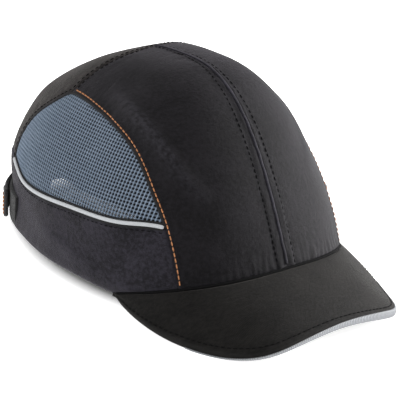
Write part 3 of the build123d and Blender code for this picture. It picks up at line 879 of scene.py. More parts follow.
def knit_window(side, hand):
    """The open knit: rounded ribs up the wall, lower ties across them, and a real hole in each cell."""
    places, ring = knit_cells()
    outline = window_outline()
    used, ring = np.unique(ring, return_inverse=True)
    ring = ring.reshape(-1, HOLE_SIDES)
    places = places[used]
    centre = places[ring].mean(axis=1, keepdims=True)
    square = places[ring]
    share = np.where(np.arange(HOLE_SIDES) % 2 == 0, HOLE_SHARE * 0.80, HOLE_SHARE)[None, :, None]
    rim = between(centre, square, share).reshape(-1, 2)
    shoulder = between(centre, square, share + SHOULDER_SHARE).reshape(-1, 2)

    def level(where_at, height):
        inside, apart = inside_outline(where_at, outline)
        sunk = smooth_step(1 - apart / OUTLINE_SINK)
        return height - np.where(inside, 0.5 * sunk, 1.5)

    rib_share = np.cos(2 * math.pi * (wall(places)[:, 1] - KNIT_START) / KNIT_Y)
    rib = -0.22 + 0.34 * rib_share
    stations = [(places, rib + 0.05), (shoulder, -0.08), (rim, -0.55), (shoulder, -0.98),
                (places, rib - 1.05)]
    layers = [(spot, level(spot, height)) for spot, height in stations]
    points = np.concatenate([crown(spot * (side, 1), offset) for spot, offset in layers])
    own = np.arange(ring.size).reshape(ring.shape) + len(places)
    below = len(places) + 3 * own.size
    starts = [ring, own, own + own.size, own + 2 * own.size, ring + below]
    faces = []
    for outer, inner in zip(starts[:-1], starts[1:]):
        around = [outer, np.roll(outer, -1, 1), np.roll(inner, -1, 1), inner]
        faces.append(np.stack(around, -1).reshape(-1, 4))
    edges = np.stack([ring, np.roll(ring, -1, 1)], -1).reshape(-1, 2)
    keys = np.sort(edges, axis=1)
    _, first, count = np.unique(keys, axis=0, return_index=True, return_counts=True)
    lone = edges[first[count == 1]]
    faces.append(np.stack([lone[:, 1], lone[:, 0], lone[:, 0] + below, lone[:, 1] + below], -1))
    # Painted shade in the knit: rib crests pale, valleys darker, the holes' shoulders darker still, their
    # rims and walls dark and the back dim.
    face = 0.25 + 0.75 * np.clip(rib_share * 0.5 + 0.5, 0, 1)
    painted_shade_tones = [face, np.repeat(face[ring].mean(axis=1) * 0.8, HOLE_SIDES), np.full(own.size, 0.1),
             np.full(own.size, 0.1), 0.3 * face]
    base = wall(np.concatenate([spot for spot, _ in layers]))
    weave = np.stack([base[:, 1] * KNIT_Y / 2.4, base[:, 2], base[:, 0]], -1)
    shape = (points, np.concatenate(faces).tolist())
    piece(f"knit_window_{hand}", shape, mesh_yarn, [f"mesh_panel_{hand}"], weave=weave,
          pale_edges_and_painted_light=np.concatenate(painted_shade_tones))


def window_binding(side, hand):
    """The black edging round the window."""
    outline = window_outline()
    around = through(np.concatenate([outline[::6], outline[:1]]))
    places = around(np.linspace(0, 1, 520)) * (side, 1)
    shape = tube(crown(places, -0.15), crown_normal(places), EDGING_WIDE, EDGING_HIGH, sides=8)
    piece(f"window_binding_{hand}", shape, edge_tape,
          weave=ring_weave(crown(places), np.linspace(0, 4, 8)))


def piping_bead(side, hand):
    """The round reflective bead of the piping, and the flat flange it is sewn in by."""
    s = np.linspace(0.0, 1.0, 520)
    places = stretch(waist, 0.002, piping_end)(s) * (side, 1)
    line = crown(places, PIPING_LIFT)
    shrink = np.minimum(1, np.minimum(s, 1 - s) / 0.012 + 0.55)
    shape = tube(line, crown_normal(places), PIPING_WIDE * shrink, PIPING_HIGH * shrink, sides=14)
    weave = ring_weave(line, np.arange(14) * 0.6)
    weave[:, 0] += 0.3 * weave[:, 1]
    piece(f"piping_bead_{hand}", shape, piping_cloth, [f"piping_{hand}"], weave=weave)
    flange = tube(crown(places, FLANGE_LIFT), crown_normal(places), FLANGE_WIDE, FLANGE_HIGH, sides=8)
    piece(f"piping_flange_{hand}", flange, edge_tape, weave=ring_weave(line, np.arange(8) * 0.6))


for side, hand in HANDS:
    knit_window(side, hand)
    window_binding(side, hand)
    piping_bead(side, hand)


# ------------------------------------------------------------------ topstitching
def centre_line(aside):
    """A line a distance in mm to the left of the centre seam, closing on it towards the top."""
    foot, head = chart(0, BRIM_ARCH + 1), chart(*CROSS_SEAM[-1])

    def at(s):
        s = np.asarray(s, float)
        place = between(foot, head, s[..., None])
        reach = np.linalg.norm(wall(place + (0.01, 0)) - wall(place), axis=-1) / 0.01
        narrowing = 1 - 0.6 * smooth_step((s - 0.2) / 0.7)
        return place + np.stack([aside * narrowing / reach, 0 * s], -1)
    return at


RIDGE_WIDE, RIDGE_HIGH, RIDGE_LIFT = 1.05, 0.5, 0.36


def centre_ridge():
    """The fine raised edge of the seam between the two front panels."""
    s = np.linspace(0.004, 0.998, 500)
    places = centre_line(0.0)(s)
    wobble = 0.12 * ripple(wall(places), 9, 51)
    line = crown(places, RIDGE_LIFT) + np.stack([wobble, 0 * s, 0 * s], -1)
    shape = tube(line, crown_normal(places), RIDGE_WIDE, RIDGE_HIGH, sides=8)
    weave = ring_weave(line, np.arange(8) * 0.5)[:, [1, 0, 2]]
    piece("centre_ridge", shape, band_cloth, weave=weave, pale_edges_and_painted_light=np.ones(len(weave)))


centre_ridge()
orange = dict(length=2.7, gap=0.45, radius=0.36)
for side, hand in HANDS:
    row = crown_stitches(beside(front_seam, 1.9), side, offset=0.28, **orange)
    piece(f"orange_topstitch_{hand}", row, orange_thread)
    dark = [crown_stitches(centre_line(PLATEAU_HALF), side, radius=0.25),
            crown_stitches(beside(stretch(waist, 0, band_end), -3.4), side, offset=-0.02, radius=0.24)]
    piece(f"dark_topstitch_{hand}", joined(dark), dark_thread)
    row = crown_stitches(beside(stretch(rear_seam, 0.02, 1), -2.2), side, radius=0.27)
    piece(f"rear_seam_topstitch_{hand}", row, dark_thread)
cross_rows = [crown_stitches(beside(cross_seam, aside)) for aside in (2.2, -2.2)]
piece("cross_seam_topstitch", joined(cross_rows), dark_thread)


# ------------------------------------------------------------------ tapes inside the crown and rear binding
TAPE_TOP, TAPE_BOTTOM = -1.45, -2.1


def tape_strip(name, patch, columns, rows, node):
    """A tape sewn flat inside the crown, with its two long edges rolled."""
    u, v = np.meshgrid(np.linspace(0, 1, columns), np.linspace(0, 1, rows))
    places = patch(u, v)
    edge = np.minimum(u, 1 - u) if rows > columns else np.minimum(v, 1 - v)
    roll = 0.25 * bell(edge, 0.08)
    skin = wall(places)
    bottom = TAPE_BOTTOM + roll + 0.06 * ripple(skin, 9, 5)
    shape = slab(crown(places, TAPE_TOP - roll), crown(places, bottom))
    weave = grid_weave(lengths(skin), lengths(skin.swapaxes(0, 1)).T)
    piece(name, shape, seam_tape, [node], weave=weave)


def centre_tape_patch(u, v):
    foot, head, half = chart(0, SWEATBAND_HEIGHT + 2), chart(*CROSS_SEAM[-1]) - (0, 0.08), 0.06
    return between(foot, head, v[..., None]) + np.stack([half * (2 * u - 1), 0 * u], -1)


def cross_tape_patch(u, v):
    return cross_seam(0.04 + 0.92 * u) + np.stack([0 * v, 0.045 * (1 - 2 * v)], -1)


tape_strip("centre_tape", centre_tape_patch, 12, 200, "centre_seam_tape")
tape_strip("cross_tape", cross_tape_patch, 200, 12, "cross_seam_tape")


BINDING_WIDTH = 4.0


def rear_binding():
    """Folded tape round the rear opening: over the crown's face, round its edge and back inside."""
    middle = arch(np.linspace(0, 1, 420))
    bearing, height = unchart(middle)
    lift = smooth_step(height / WAIST_SEAM[-1][1])
    turn = np.linspace(-0.5, 1.5, 26) * math.pi
    reach = 0.5 + 0.5 * np.sin(turn)
    outer = np.cos(turn)
    aside = BINDING_WIDTH * 0.75 * (1 - lift) * np.where(bearing < 0, 1, -1)
    spread = 1 - reach[None] * 1.1
    places = chart(bearing[:, None] + aside[:, None] * spread,
                   np.clip(height[:, None] + BINDING_WIDTH * lift[:, None] * spread, 0.0, CROWN_HEIGHT))
    offset = -0.45 + 1.15 * np.sign(outer) * np.abs(outer) ** 0.35
    line = crown(places, offset[None])
    shape = (line.reshape(-1, 3), tube_faces(len(bearing), len(turn)))
    piece("rear_binding", shape, seam_tape, ["rear_opening_binding"],
          weave=ring_weave(crown(middle), reach * 4))


rear_binding()

# ------------------------------------------------------------------ brim
BRIM_REACH, BRIM_ROW, BRIM_SPACING = 60.0, 3.0, 1.1
CORD_WIDE, CORD_HIGH = 1.0, 0.45
outline = through(np.array([(-x, y, z) for x, y, z in reversed(BRIM_OUTLINE[1:])] + BRIM_OUTLINE))


def upwards(rise):
    return np.stack([0 * rise, 0 * rise, rise], -1)


def brim_thickness(u):
    """Even along the middle and thinner towards both ends."""
    return BRIM_THICK - (BRIM_THICK - BRIM_TIP_THICK) * smooth_step((np.abs(2 * u - 1) - 0.6) / 0.4)


def brim_face(u, v, depth):
    """A point of the brim, at a share of its thickness below the top."""
    bearing = BRIM_SPREAD * (2 * u - 1)
    root = crown(chart(bearing, brim_seam_height(bearing)), 0.5)
    thick = brim_thickness(u)
    edge = outline(u) + upwards(thick)
    camber = BRIM_CAMBER * np.sin(math.pi * np.clip(v, 0, 1)) * (1 - (2 * u - 1) ** 2)
    return root * (1 - v)[..., None] + edge * v[..., None] + upwards(camber - depth * thick)


def brim_outward(u):
    """The level direction straight out of the brim's edge."""
    ahead = outline(np.clip(u + 0.002, 0, 1)) - outline(np.clip(u - 0.002, 0, 1))
    return unit(np.stack([ahead[..., 1], -ahead[..., 0], 0 * ahead[..., 0]], -1))


def brim_cover():
    """The cloth round the board: over the top, round the edge and back underneath."""
    u = np.concatenate([np.linspace(0.002, 0.05, 22)[:-1], np.linspace(0.05, 0.95, 250),
                        np.linspace(0.95, 0.998, 22)[1:]])
    across = marks(BRIM_REACH, BRIM_SPACING)
    top = [(v, 0.0, 0.0) for v in across]
    turn = np.linspace(0, math.pi, 9)[1:-1]
    round_edge = [(1.0, 0.5 - 0.5 * math.cos(a), math.sin(a)) for a in turn]
    under = [(v, 1.0, 0.0) for v in across[::-1]]
    profile = np.array(top + round_edge + under)
    u, v = np.meshgrid(u, profile[:, 0])
    depth = np.broadcast_to(profile[:, 1][:, None], v.shape)
    bulge = np.broadcast_to(profile[:, 2][:, None], v.shape)
    from_end = np.minimum(u, 1 - u)
    slim = 0.85 + 0.15 * smooth_step(from_end / 0.06)
    tuck = 1 - smooth_step(from_end / 0.03)
    points = brim_face(u, v, 0.25 + (depth - 0.25) * slim)
    points = points + brim_outward(u) * (0.55 * bulge * slim)[..., None]
    up = np.where(np.arange(len(profile)) < len(top) + 4, 1.0, -1.0)[:, None]
    root_gap = bell(v * BRIM_REACH, 1.4)
    from_row = (1 - v) * BRIM_REACH - BRIM_ROW
    stitched = bell(from_row, 0.8) * 0.2
    gathers = 0.14 * bell(from_row, 2.2) * ripple(points, 4.5, 43)
    uneven = 0.16 * ripple(points, 30, 41) * np.sin(math.pi * v)
    points[..., 2] += up * (uneven - 0.55 * root_gap - stitched + gathers) * (1 - bulge)
    bearing = BRIM_SPREAD * (2 * u - 1)
    inward = -crown_normal(chart(bearing, brim_seam_height(bearing)))
    points = points + inward * (0.8 * root_gap * (v < 0.02) + 0.7 * tuck)[..., None]
    points[..., 2] += 0.5 * tuck
    rows, columns = v.shape
    faces = quads(rows, columns, close_rows=True).tolist()
    faces += [[r * columns for r in range(rows)], [r * columns + columns - 1 for r in range(rows)]]
    piece("brim_cover", (points.reshape(-1, 3), faces), brim_cloth, ["brim_top_cover", "brim_under_cover"],
          weave=grid_weave(lengths(points), lengths(points.swapaxes(0, 1)).T),
          pale_edges_and_painted_light=(bulge * 0.8 * (1 - tuck)).ravel())


def brim_rows(v, depth, start=0.03, end=0.97):
    """A row of stitches along the brim, at a share of its reach, on its top or its underside."""
    u = np.linspace(start, end, 600)
    spot = brim_face(u, np.full_like(u, v), np.full_like(u, depth))
    inner = brim_face(u, np.full_like(u, v - 0.02), np.full_like(u, depth))
    normal = unit(np.cross(np.gradient(spot, axis=0), spot - inner))
    normal *= np.where((normal[:, 2] > 0) == (depth < 0.5), 1, -1)[:, None]
    return stitches(spot + normal * 0.02, normal, radius=0.26)


def brim_seam_cord():
    """The dark bound seam where the brim is sewn to the crown."""
    bearing = np.linspace(-BRIM_SPREAD + 2.5, BRIM_SPREAD - 2.5, 420)
    places = chart(bearing, np.maximum(brim_seam_height(bearing) - 0.1, 0.4))
    line = crown(places)
    shape = tube(line, crown_normal(places), CORD_WIDE, CORD_HIGH, sides=8)
    piece("brim_seam_cord", shape, dark_thread, weave=ring_weave(line, np.linspace(0, 4, 8)))


TRIM_NARROW, TRIM_FULL = 0.26, 0.62
TRIM_RIB = 1.25


def brim_trim():
    """The reflective edging: a ribbed tape sewn round the front edge, tapering to the wearer's right."""
    u = np.linspace(0.5 - TRIM_REACH / 2, 0.5 + TRIM_REACH / 2, 900)
    turn = np.linspace(-0.25, 1.25, 17) * math.pi
    edge, out, thick = outline(u)[:, None], brim_outward(u)[:, None], brim_thickness(u)
    travelled = lengths(outline(u))
    rib = 0.10 * wave(travelled, TRIM_RIB)
    ends = np.minimum(np.minimum(travelled, travelled[-1] - travelled) / 4, 1)[:, None]
    shown = 0.1 + 0.9 * np.clip((u - TRIM_NARROW) / (TRIM_FULL - TRIM_NARROW), 0, 1)
    half = (thick * shown)[:, None] / 2
    rise = half + (half + 0.25) * np.cos(turn)[None]
    push = (0.35 + 0.95 * np.sin(turn)[None] * (0.4 + 0.6 * ends)) + rib[:, None]
    outer = edge + out * push[..., None] + upwards(rise)
    inner_rise = half + (half - 0.1) * np.cos(turn)[None]
    inner = edge + out * (push - 0.75)[..., None] + upwards(inner_rise)
    piece("brim_trim", slab(outer, inner), silver_trim, ["brim_edge_trim"],
          weave=ring_weave(outline(u), np.linspace(0, 6, len(turn))))


brim_cover()
piece("brim_topstitch", joined([brim_rows(0.95, 0.0), brim_rows(0.95, 1.0, 0.08, 0.92),
                                brim_rows(0.5, 1.0, 0.12, 0.88)]), dark_thread)
brim_seam_cord()
brim_trim()


# ------------------------------------------------------------------ inside: sweatband, pads, tabs, label
LOW_ROW, HIGH_ROW, ROW_ENDS = 5.5, 4.0, 154


def sweatband_piece():
    """The terry band inside the rim, with a sewn channel along both edges."""
    low = lambda bearing: hem_height(bearing) + SWEATBAND_LIFT
    patch = of_bearings(-SWEATBAND_ENDS, SWEATBAND_ENDS, low, SWEATBAND_HEIGHT)
    places, skin, edges, weave = cloth_grid(patch, 1, 1.3)
    edge = np.minimum.reduce(edges)
    soft = 1 - bell(edge, 2.2)
    tuck = 0.7 * bell(edges[2] - LOW_ROW, 0.9)
    tuck += 0.45 * bell(edges[3] - HIGH_ROW, 0.9)
    inner = SWEATBAND_BOTTOM + 0.75 * (1 - soft) + tuck - 0.28 * soft * (1 + ripple(skin, 11, 61))
    shape = slab(crown(places, SWEATBAND_TOP - 0.3 * (1 - soft)), crown(places, inner))
    made = piece("sweatband_terry", shape, terry, ["sweatband"], weave=weave)
    rows = []
    bearing = np.linspace(-ROW_ENDS, ROW_ENDS, 900)
    for height in (low(bearing) + LOW_ROW, SWEATBAND_HEIGHT - HIGH_ROW):
        at = chart(bearing, height)
        rows.append(stitches(crown(at, SWEATBAND_BOTTOM + 0.35), -crown_normal(at), radius=0.27))
    piece("sweatband_stitching", joined(rows), dark_thread)


sweatband_piece()


PUFF_REACH, PUFF_VOXEL = 1.6, 3.0
PUFF_PRESSURE, PUFF_STIFFNESS, PUFF_FRAMES = 4.0, 12, 20
PAD_SPACING = 2.0
PAD_EDGE, PAD_SHOULDER = 0.45, 7.0
PAD_TOP_DROP, PAD_BOTTOM_RISE = 0.5, 1.0


def puffed(made):
    """Swells a closed pad by a short cloth simulation. No point moves further than PUFF_REACH, in mm."""
    bpy.context.view_layer.objects.active = made
    remesh = made.modifiers.new("even", "REMESH")
    remesh.mode, remesh.voxel_size = "VOXEL", PUFF_VOXEL * MM
    bpy.ops.object.modifier_apply(modifier=remesh.name)
    count = len(made.data.vertices)
    before = np.zeros(count * 3)
    made.data.vertices.foreach_get("co", before)
    cloth = made.modifiers.new("swell", "CLOTH")
    how = cloth.settings
    how.quality, how.mass, how.bending_stiffness = 4, 0.2, 2
    how.tension_stiffness = how.compression_stiffness = PUFF_STIFFNESS
    how.use_pressure, how.uniform_pressure_force = True, PUFF_PRESSURE
    how.effector_weights.gravity = 0
    for number in range(1, PUFF_FRAMES + 1):
        bpy.context.scene.frame_set(number)
    bpy.ops.object.modifier_apply(modifier=cloth.name)
    bpy.context.scene.frame_set(1)
    after = np.zeros(count * 3)
    made.data.vertices.foreach_get("co", after)
    move = (after - before).reshape(-1, 3)
    far = np.linalg.norm(move, axis=1, keepdims=True)
    move *= np.minimum(1, PUFF_REACH * MM / np.maximum(far, 1e-9))
    made.data.vertices.foreach_set("co", (before.reshape(-1, 3) + move).ravel())


def pad_piece(name, patch, node):
    """A foam pad in a cloth cover: crowned, and thinner round its edge."""
    places, _, edges, _ = cloth_grid(patch, 1, PAD_SPACING)
    edge = np.minimum.reduce(edges)
    crowned = PAD_EDGE + (1 - PAD_EDGE) * smooth_step(edge / PAD_SHOULDER)
    middle = (PAD_TOP + PAD_BOTTOM) / 2
    top = between(middle, PAD_TOP - PAD_TOP_DROP, crowned)
    bottom = between(middle, PAD_BOTTOM + PAD_BOTTOM_RISE, crowned)
    made = piece(name, slab(crown(places, top), crown(places, bottom)), pad_cover, [node])
    puffed(made)
    smooth = made.modifiers.new("smooth", "SUBSURF")
    smooth.levels = smooth.render_levels = 1
    bpy.context.view_layer.objects.active = made
    bpy.ops.object.modifier_apply(modifier=smooth.name)
    made.data.shade_smooth()
    co = np.zeros(len(made.data.vertices) * 3)
    made.data.vertices.foreach_get("co", co)
    before = made.data.attributes.get("weave")
    if before:
        made.data.attributes.remove(before)
    lay = made.data.attributes.new("weave", "FLOAT_VECTOR", "POINT")
    lay.data.foreach_set("vector", (co / MM).astype(np.float32))


def crown_pad_patch(u, v):
    return np.stack([(0.21 - 0.08 * v) * (2 * u - 1), 0.32 * (2 * v - 1)], -1)


pad_piece("pad_front", of_bearings(-36, 36, 50, 74), "front_pad")
pad_piece("pad_rear", of_bearings(152, 208, 60, 84), "rear_pad")
pad_piece("pad_left", of_bearings(72, 108, 50, 76), "side_pad_left")
pad_piece("pad_right", of_bearings(-72, -108, 50, 76), "side_pad_right")
pad_piece("pad_crown", crown_pad_patch, "crown_pad")


TAB_LOW, TAB_HIGH, TAB_LENGTH = 28, 54, 30.0
TAB_DROP, TAB_DROP_SHARE = 4.2, 0.35


def tab_depth(share):
    """The face of a tab, which leaves the sweatband and runs back to the insert."""
    return SWEATBAND_BOTTOM - 0.2 - TAB_DROP * smooth_step(share / TAB_DROP_SHARE)


def tab_pieces():
    """The four webbing tabs that hold the insert, each with two bar tacks at its foot."""
    tabs, bars = [], []
    for bearing in [s * b for s in (1, -1) for b in TAB_BEARINGS]:
        u, v = np.meshgrid(marks(16, 1.2, (0.3, 0.8)), marks(TAB_LENGTH, 0.8, (0.3, 0.8)))
        start, end = bearing - TAB_HALF_WIDTH, bearing + TAB_HALF_WIDTH
        places = of_bearings(start, end, TAB_LOW, TAB_HIGH)(u, v)
        outer = tab_depth(v) + 0.08 * wave(v * TAB_LENGTH, 1.6)
        tabs.append(slab(crown(places, outer), crown(places, outer - TAB_THICK)))
        for share in (0.10, 0.16):
            across = of_bearings(start + 1, end - 1, TAB_LOW, TAB_HIGH)
            line = across(np.linspace(0, 1, 40), np.full(40, share))
            at = crown(line, tab_depth(share) - TAB_THICK)
            bars.append(stitches(at, -crown_normal(line), length=1.6, gap=0.3))
    piece("insert_tab_webbing", joined(tabs), webbing, ["insert_tabs"])
    piece("insert_tab_bartacks", joined(bars), dark_thread)


tab_pieces()


LABEL_START, LABEL_END, LABEL_LOW, LABEL_HIGH = 136, 146, 7, 29
LABEL_THICK, LABEL_GAP = 0.35, 1.15


def label_piece():
    """A small blank label, sewn in along its top edge."""
    patch = of_bearings(LABEL_START, LABEL_END, LABEL_LOW, LABEL_HIGH)
    places, skin, edges, weave = cloth_grid(patch, 1, 1.0)
    edge = np.minimum.reduce(edges)
    curl = 0.15 * ripple(skin, 12, 71)
    hem = 0.12 * bell(edge, 0.8)
    inner = SWEATBAND_BOTTOM - LABEL_GAP - curl + hem
    shape = slab(crown(places, inner + LABEL_THICK), crown(places, inner))
    piece("care_label_cloth", shape, label_cloth, ["care_label"], weave=weave)
    top = chart(np.linspace(LABEL_START + 0.4, LABEL_END - 0.4, 60), LABEL_HIGH - 1)
    row = stitches(crown(top, SWEATBAND_BOTTOM - 1.2), -crown_normal(top), length=1.8, radius=0.22)
    piece("care_label_stitching", row, dark_thread)


label_piece()


# ------------------------------------------------------------------ closing strap
WEB_RIB, WEB_ROUND = 1.7, 0.45
FOLD_LENGTH, FOLD_THICK = 9.0, 0.95
CORNER_REACH, CORNER_CUT = 3.0, 2.0
HOOK_PITCH, HOOK_DEPTH = 1.1, 0.22


def ring_point(radius, angle, height):
    """Points about the strap's axis. The angle is from the rear, positive to the wearer's left."""
    turn = np.radians(angle)
    radius, turn, height = np.broadcast_arrays(radius, turn, height)
    return np.stack([radius * np.sin(turn), STRAP_CENTRE_Y + radius * np.cos(turn), height + 0.0], -1)


def wall_radius(angle, height):
    """How far the crown's face is from the strap's axis, at angles and heights."""
    near, far = np.full(np.shape(angle), 90.0), np.full(np.shape(angle), 270.0)
    for _ in range(34):
        middle = (near + far) / 2
        point = wall(chart(middle, height))
        here = np.degrees(np.arctan2(point[..., 0], point[..., 1] - STRAP_CENTRE_Y))
        near, far = np.where(here > angle, middle, near), np.where(here > angle, far, middle)
    point = wall(chart(near, height))
    return np.hypot(point[..., 0], point[..., 1] - STRAP_CENTRE_Y)


def strap_slab(outer, inner, angle, height):
    """Points and faces between two faces about the strap's axis."""
    return slab(ring_point(outer, angle, height), ring_point(inner, angle, height))


def ring_outward(line):
    """The level direction away from the strap's axis."""
    return unit(line * (1, 1, 0) - (0, STRAP_CENTRE_Y, 0))


def strap_web():
    """Webbing from its anchor round to its free end, where it is folded back on itself and sewn."""
    angle = np.linspace(TAB_END, STRAP_ROOT, 560)
    share = marks(STRAP_HIGH - STRAP_LOW, 0.6, (0.2, 0.5, 0.9))
    rise = between(STRAP_LOW, STRAP_HIGH, share)
    a, z = np.meshgrid(angle, rise, indexing="ij")
    selvedge = np.minimum(z - STRAP_LOW, STRAP_HIGH - z)
    travelled = np.radians(a - TAB_END) * STRAP_OUTER
    round_off = WEB_ROUND * bell(selvedge, WEB_ROUND)
    rib = 0.07 * wave(travelled, WEB_RIB)
    folded = FOLD_THICK * (1 - smooth_step((travelled - FOLD_LENGTH) / 0.7))
    outer = STRAP_OUTER + folded - round_off + rib + 0.12 * bell(selvedge - 1.2, 0.6)
    inner = STRAP_INNER + round_off * 0.6 + 0 * a
    corner = np.clip((CORNER_REACH - travelled) / CORNER_REACH, 0, 1) ** 2 * CORNER_CUT
    mid = (STRAP_LOW + STRAP_HIGH) / 2
    z = mid + (z - mid) * (1 - corner * 2 / (STRAP_HIGH - STRAP_LOW))
    made = piece("strap_webbing", strap_slab(outer, inner, a, z), webbing, ["closure_strap", "strap_tab"],
                 body=None, weave=grid_weave(travelled, z))
    start, end = [Vector(rest(ring_point((STRAP_INNER + STRAP_OUTER) / 2, at, mid)))
                  for at in (PEEL_ANGLE + 0.8, PEEL_ANGLE - 1.4)]
    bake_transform(made)


def strap_stitching():
    """The orange bar tacks across the free end and the dark rows that hold the hooks."""
    tacks = []
    for travelled in (1.6, 7.6):
        at = TAB_END + math.degrees(travelled / STRAP_OUTER)
        line = ring_point(STRAP_OUTER + 0.98, at, np.linspace(STRAP_LOW + 1.6, STRAP_HIGH - 1.6, 60))
        tacks.append(stitches(line, ring_outward(line), length=2.2, gap=0.35, radius=0.42))
    piece("strap_bartacks", joined(tacks), orange_thread, body="strap_end")
    rows = []
    for height in (STRAP_LOW + 1.3, STRAP_HIGH - 1.3):
        line = ring_point(STRAP_OUTER + 0.1, np.linspace(HOOK_START, HOOK_END + 5.5, 200), height)
        rows.append(stitches(line, ring_outward(line), radius=0.25))
    piece("strap_edge_stitching", joined(rows), dark_thread, body="strap_end")


def patch_edge(travelled, low, high):
    """How far each point of a patch is from its nearest edge."""
    ends = np.minimum(travelled - travelled.min(), travelled.max() - travelled)
    return np.minimum(np.minimum(low, high), ends)


def hook_strip():
    """The patch of hooks on the strap's end, facing inwards."""
    low, high = STRAP_LOW + 0.5, STRAP_HIGH - 0.5
    a, z = np.meshgrid(np.linspace(HOOK_END, HOOK_START, 130), np.linspace(low, high, 70), indexing="ij")
    travelled = np.radians(a) * HOOK_OUTER
    hooks = np.maximum(wave(travelled, HOOK_PITCH) * wave(z, HOOK_PITCH), 0) ** 2
    depth = HOOK_DEPTH * hooks * (patch_edge(travelled, z - low, high - z) > 1.0)
    shape = strap_slab(HOOK_OUTER, HOOK_INNER + 0.28 - depth, a, z)
    piece("hook_strip", shape, hook_plastic, ["hook_patch"], body="strap_end",
          weave=grid_weave(travelled, z))


def loop_strip():
    """The patch of pile that the hooks hold on to, sewn to the crown."""
    a, z = np.meshgrid(np.linspace(LOOP_END, LOOP_START, 150), np.linspace(STRAP_LOW, STRAP_HIGH, 60),
                       indexing="ij")
    travelled = np.radians(a) * LOOP_OUTER
    border = bell(patch_edge(travelled, z - STRAP_LOW, STRAP_HIGH - z), 1.2)
    tufts = 0.16 * ripple(ring_point(1.0, a, z) * (60, 60, 1), 1.6, 81)
    outer = LOOP_OUTER - 0.35 - 0.25 * border + np.minimum(tufts, 0.3) * (1 - border)
    inner = np.minimum(wall_radius(a, z) + 0.1, outer - 0.5)
    piece("loop_strip", strap_slab(outer, inner, a, z), pile, ["loop_patch"],
          weave=grid_weave(travelled, z))


def anchor_loop():
    """The cloth loop that holds the strap's root: sewn down above and below, open at both ends."""
    low, high = STRAP_LOW - 2, STRAP_HIGH + 2
    a, z = np.meshgrid(np.linspace(ANCHOR_START, ANCHOR_END, 60), np.linspace(low, high, 60),
                       indexing="ij")
    held = wall_radius(a, z) + 0.9
    free = smooth_step((np.minimum(z - low, high - z) - 1.0) / 1.0)
    outer = held * (1 - free) + (ANCHOR_OUTER + 0.15) * free
    ends = np.minimum(a - ANCHOR_START, ANCHOR_END - a) * math.radians(1) * ANCHOR_OUTER
    outer = outer - 0.25 * bell(ends, 0.6)
    piece("anchor_loop", strap_slab(outer, outer - 0.85, a, z), band_cloth, ["strap_anchor"],
          weave=grid_weave(np.radians(a) * ANCHOR_OUTER, z),
          pale_edges_and_painted_light=bell(ends, 1.2))
    rows = []
    for height in (low + 0.8, high - 0.8):
        angle = np.linspace(ANCHOR_START + 1, ANCHOR_END - 1, 120)
        line = ring_point(wall_radius(angle, np.full(120, height)) + 0.95, angle, height)
        rows.append(stitches(line, ring_outward(line), length=2.0, gap=0.5, radius=0.28))
    piece("anchor_stitching", joined(rows), dark_thread)


strap_web()
strap_stitching()
hook_strip()
loop_strip()
anchor_loop()

# ------------------------------------------------------------------ CAD nodes that stay
for node, look in (("insert_shell", insert_plastic), ("brim_board", board_plastic)):
    nodes[node].data.materials.clear()
    nodes[node].data.materials.append(look)


# ------------------------------------------------------------------ floor, lights and camera
GLOW_WIDE, GLOW_LONG, GLOW_CENTRE = 0.080, 0.108, 0.022
FLOOR_GLOW, SKY = 0.8, 0.62


def pale_floor():
    """A white floor that glows softly all round the cap, though not inside it, so shadows stay faint."""
    bpy.ops.mesh.primitive_plane_add(size=14.0, location=(0, 0, -0.0004))
    floor = bpy.context.object
    floor.name = "floor"
    made, tree, shader = start_material("pale_floor", Roughness=0.7, Specular_IOR_Level=0.2)
    place = add(tree, "ShaderNodeTexCoord").outputs["Object"]
    tone = blend_colours(tree, noise(tree, place, 6.0), (0.93, 0.93, 0.93, 1), (0.95, 0.95, 0.95, 1))
    tree.links.new(tone, shader.inputs["Base Color"])
    glow = add(tree, "ShaderNodeMapping", {"Vector": place, "Location": (0, -GLOW_CENTRE / GLOW_LONG, 0),
                                           "Scale": (1 / GLOW_WIDE, 1 / GLOW_LONG, 1)})
    away = add(tree, "ShaderNodeVectorMath", {0: glow.outputs[0]}, operation="LENGTH").outputs["Value"]
    shader.inputs["Emission Color"].default_value = (1, 1, 1, 1)
    strength = times(tree, ramp(tree, away, 0.92, 1.06), FLOOR_GLOW)
    tree.links.new(strength, shader.inputs["Emission Strength"])
    floor.data.materials.append(made)


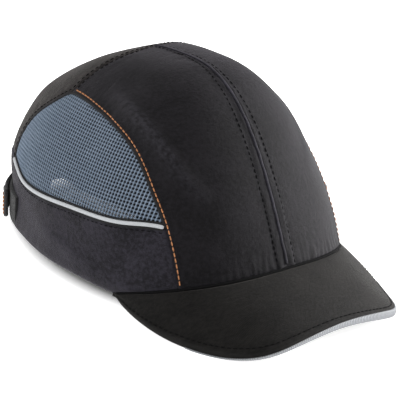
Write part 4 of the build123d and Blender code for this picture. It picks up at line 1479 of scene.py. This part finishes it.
def softbox(name, azimuth, elevation, distance, size, power, colour=(1, 1, 1)):
    """A square light that looks at the cap. Azimuth 0 is in front of it, 90 at the wearer's left."""
    light = bpy.data.lights.new(name, "AREA")
    light.size, light.energy, light.color = size, power, colour
    made = bpy.data.objects.new(name, light)
    a, e = math.radians(azimuth), math.radians(elevation)
    aim = Vector((0, 0, 0.06))
    towards = Vector((math.cos(e) * math.sin(a), -math.cos(e) * math.cos(a), math.sin(e)))
    made.location = aim + distance * towards
    made.rotation_euler = (made.location - aim).to_track_quat("Z", "Y").to_euler()
    bpy.context.scene.collection.objects.link(made)


def studio():
    """A white surround and three soft lights."""
    world = bpy.data.worlds.new("studio")
    bpy.context.scene.world = world
    world.use_nodes = True
    background = world.node_tree.nodes["Background"]
    background.inputs["Color"].default_value = (1, 1, 1, 1)
    background.inputs["Strength"].default_value = SKY
    softbox("right_light", 70, 17, 1.6, 0.9, 50)
    softbox("left_light", -118, 26, 1.6, 0.9, 11)
    softbox("top_light", 10, 82, 1.5, 1.0, 10, (1.0, 0.97, 0.93))
    bpy.context.scene.view_settings.view_transform = "Standard"


VIEW_AZIMUTH, VIEW_ELEVATION, VIEW_ROLL = -0.7057, 0.3774, -0.053
VIEW_DISTANCE = 1000.0
VIEW_TARGET = (21.5, 22.1)
LENS = 147.9


def photo_camera():
    """Looks from the front and the wearer's right, at a point in mm right of and above the rim's centre."""
    a, e, r = VIEW_AZIMUTH, VIEW_ELEVATION, VIEW_ROLL
    right = np.array([math.cos(a), math.sin(a), 0])
    up = np.array([-math.sin(a) * math.sin(e), math.cos(a) * math.sin(e), math.cos(e)])
    back = np.array([math.sin(a) * math.cos(e), -math.cos(a) * math.cos(e), math.sin(e)])
    x = math.cos(r) * VIEW_TARGET[0] + math.sin(r) * VIEW_TARGET[1]
    y = -math.sin(r) * VIEW_TARGET[0] + math.cos(r) * VIEW_TARGET[1]
    place, target = back * VIEW_DISTANCE, right * x + up * y
    overhead = math.sin(r) * right + math.cos(r) * up
    place, target, over = [Vector(rest(point)) for point in (place, target, target + overhead * 10)]
    behind = (place - target).normalized()
    across = (over - target).normalized().cross(behind).normalized()
    upward = behind.cross(across)
    camera = bpy.data.cameras.new("camera")
    camera.lens, camera.sensor_width = LENS, 36.0
    camera.clip_start, camera.clip_end = 0.05, 30.0
    made = bpy.data.objects.new("camera", camera)
    bpy.context.scene.collection.objects.link(made)
    turned = Matrix((across, upward, behind)).transposed().to_4x4()
    turned.translation = place
    made.matrix_world = turned
    bpy.context.scene.camera = made


pale_floor()
studio()
photo_camera()
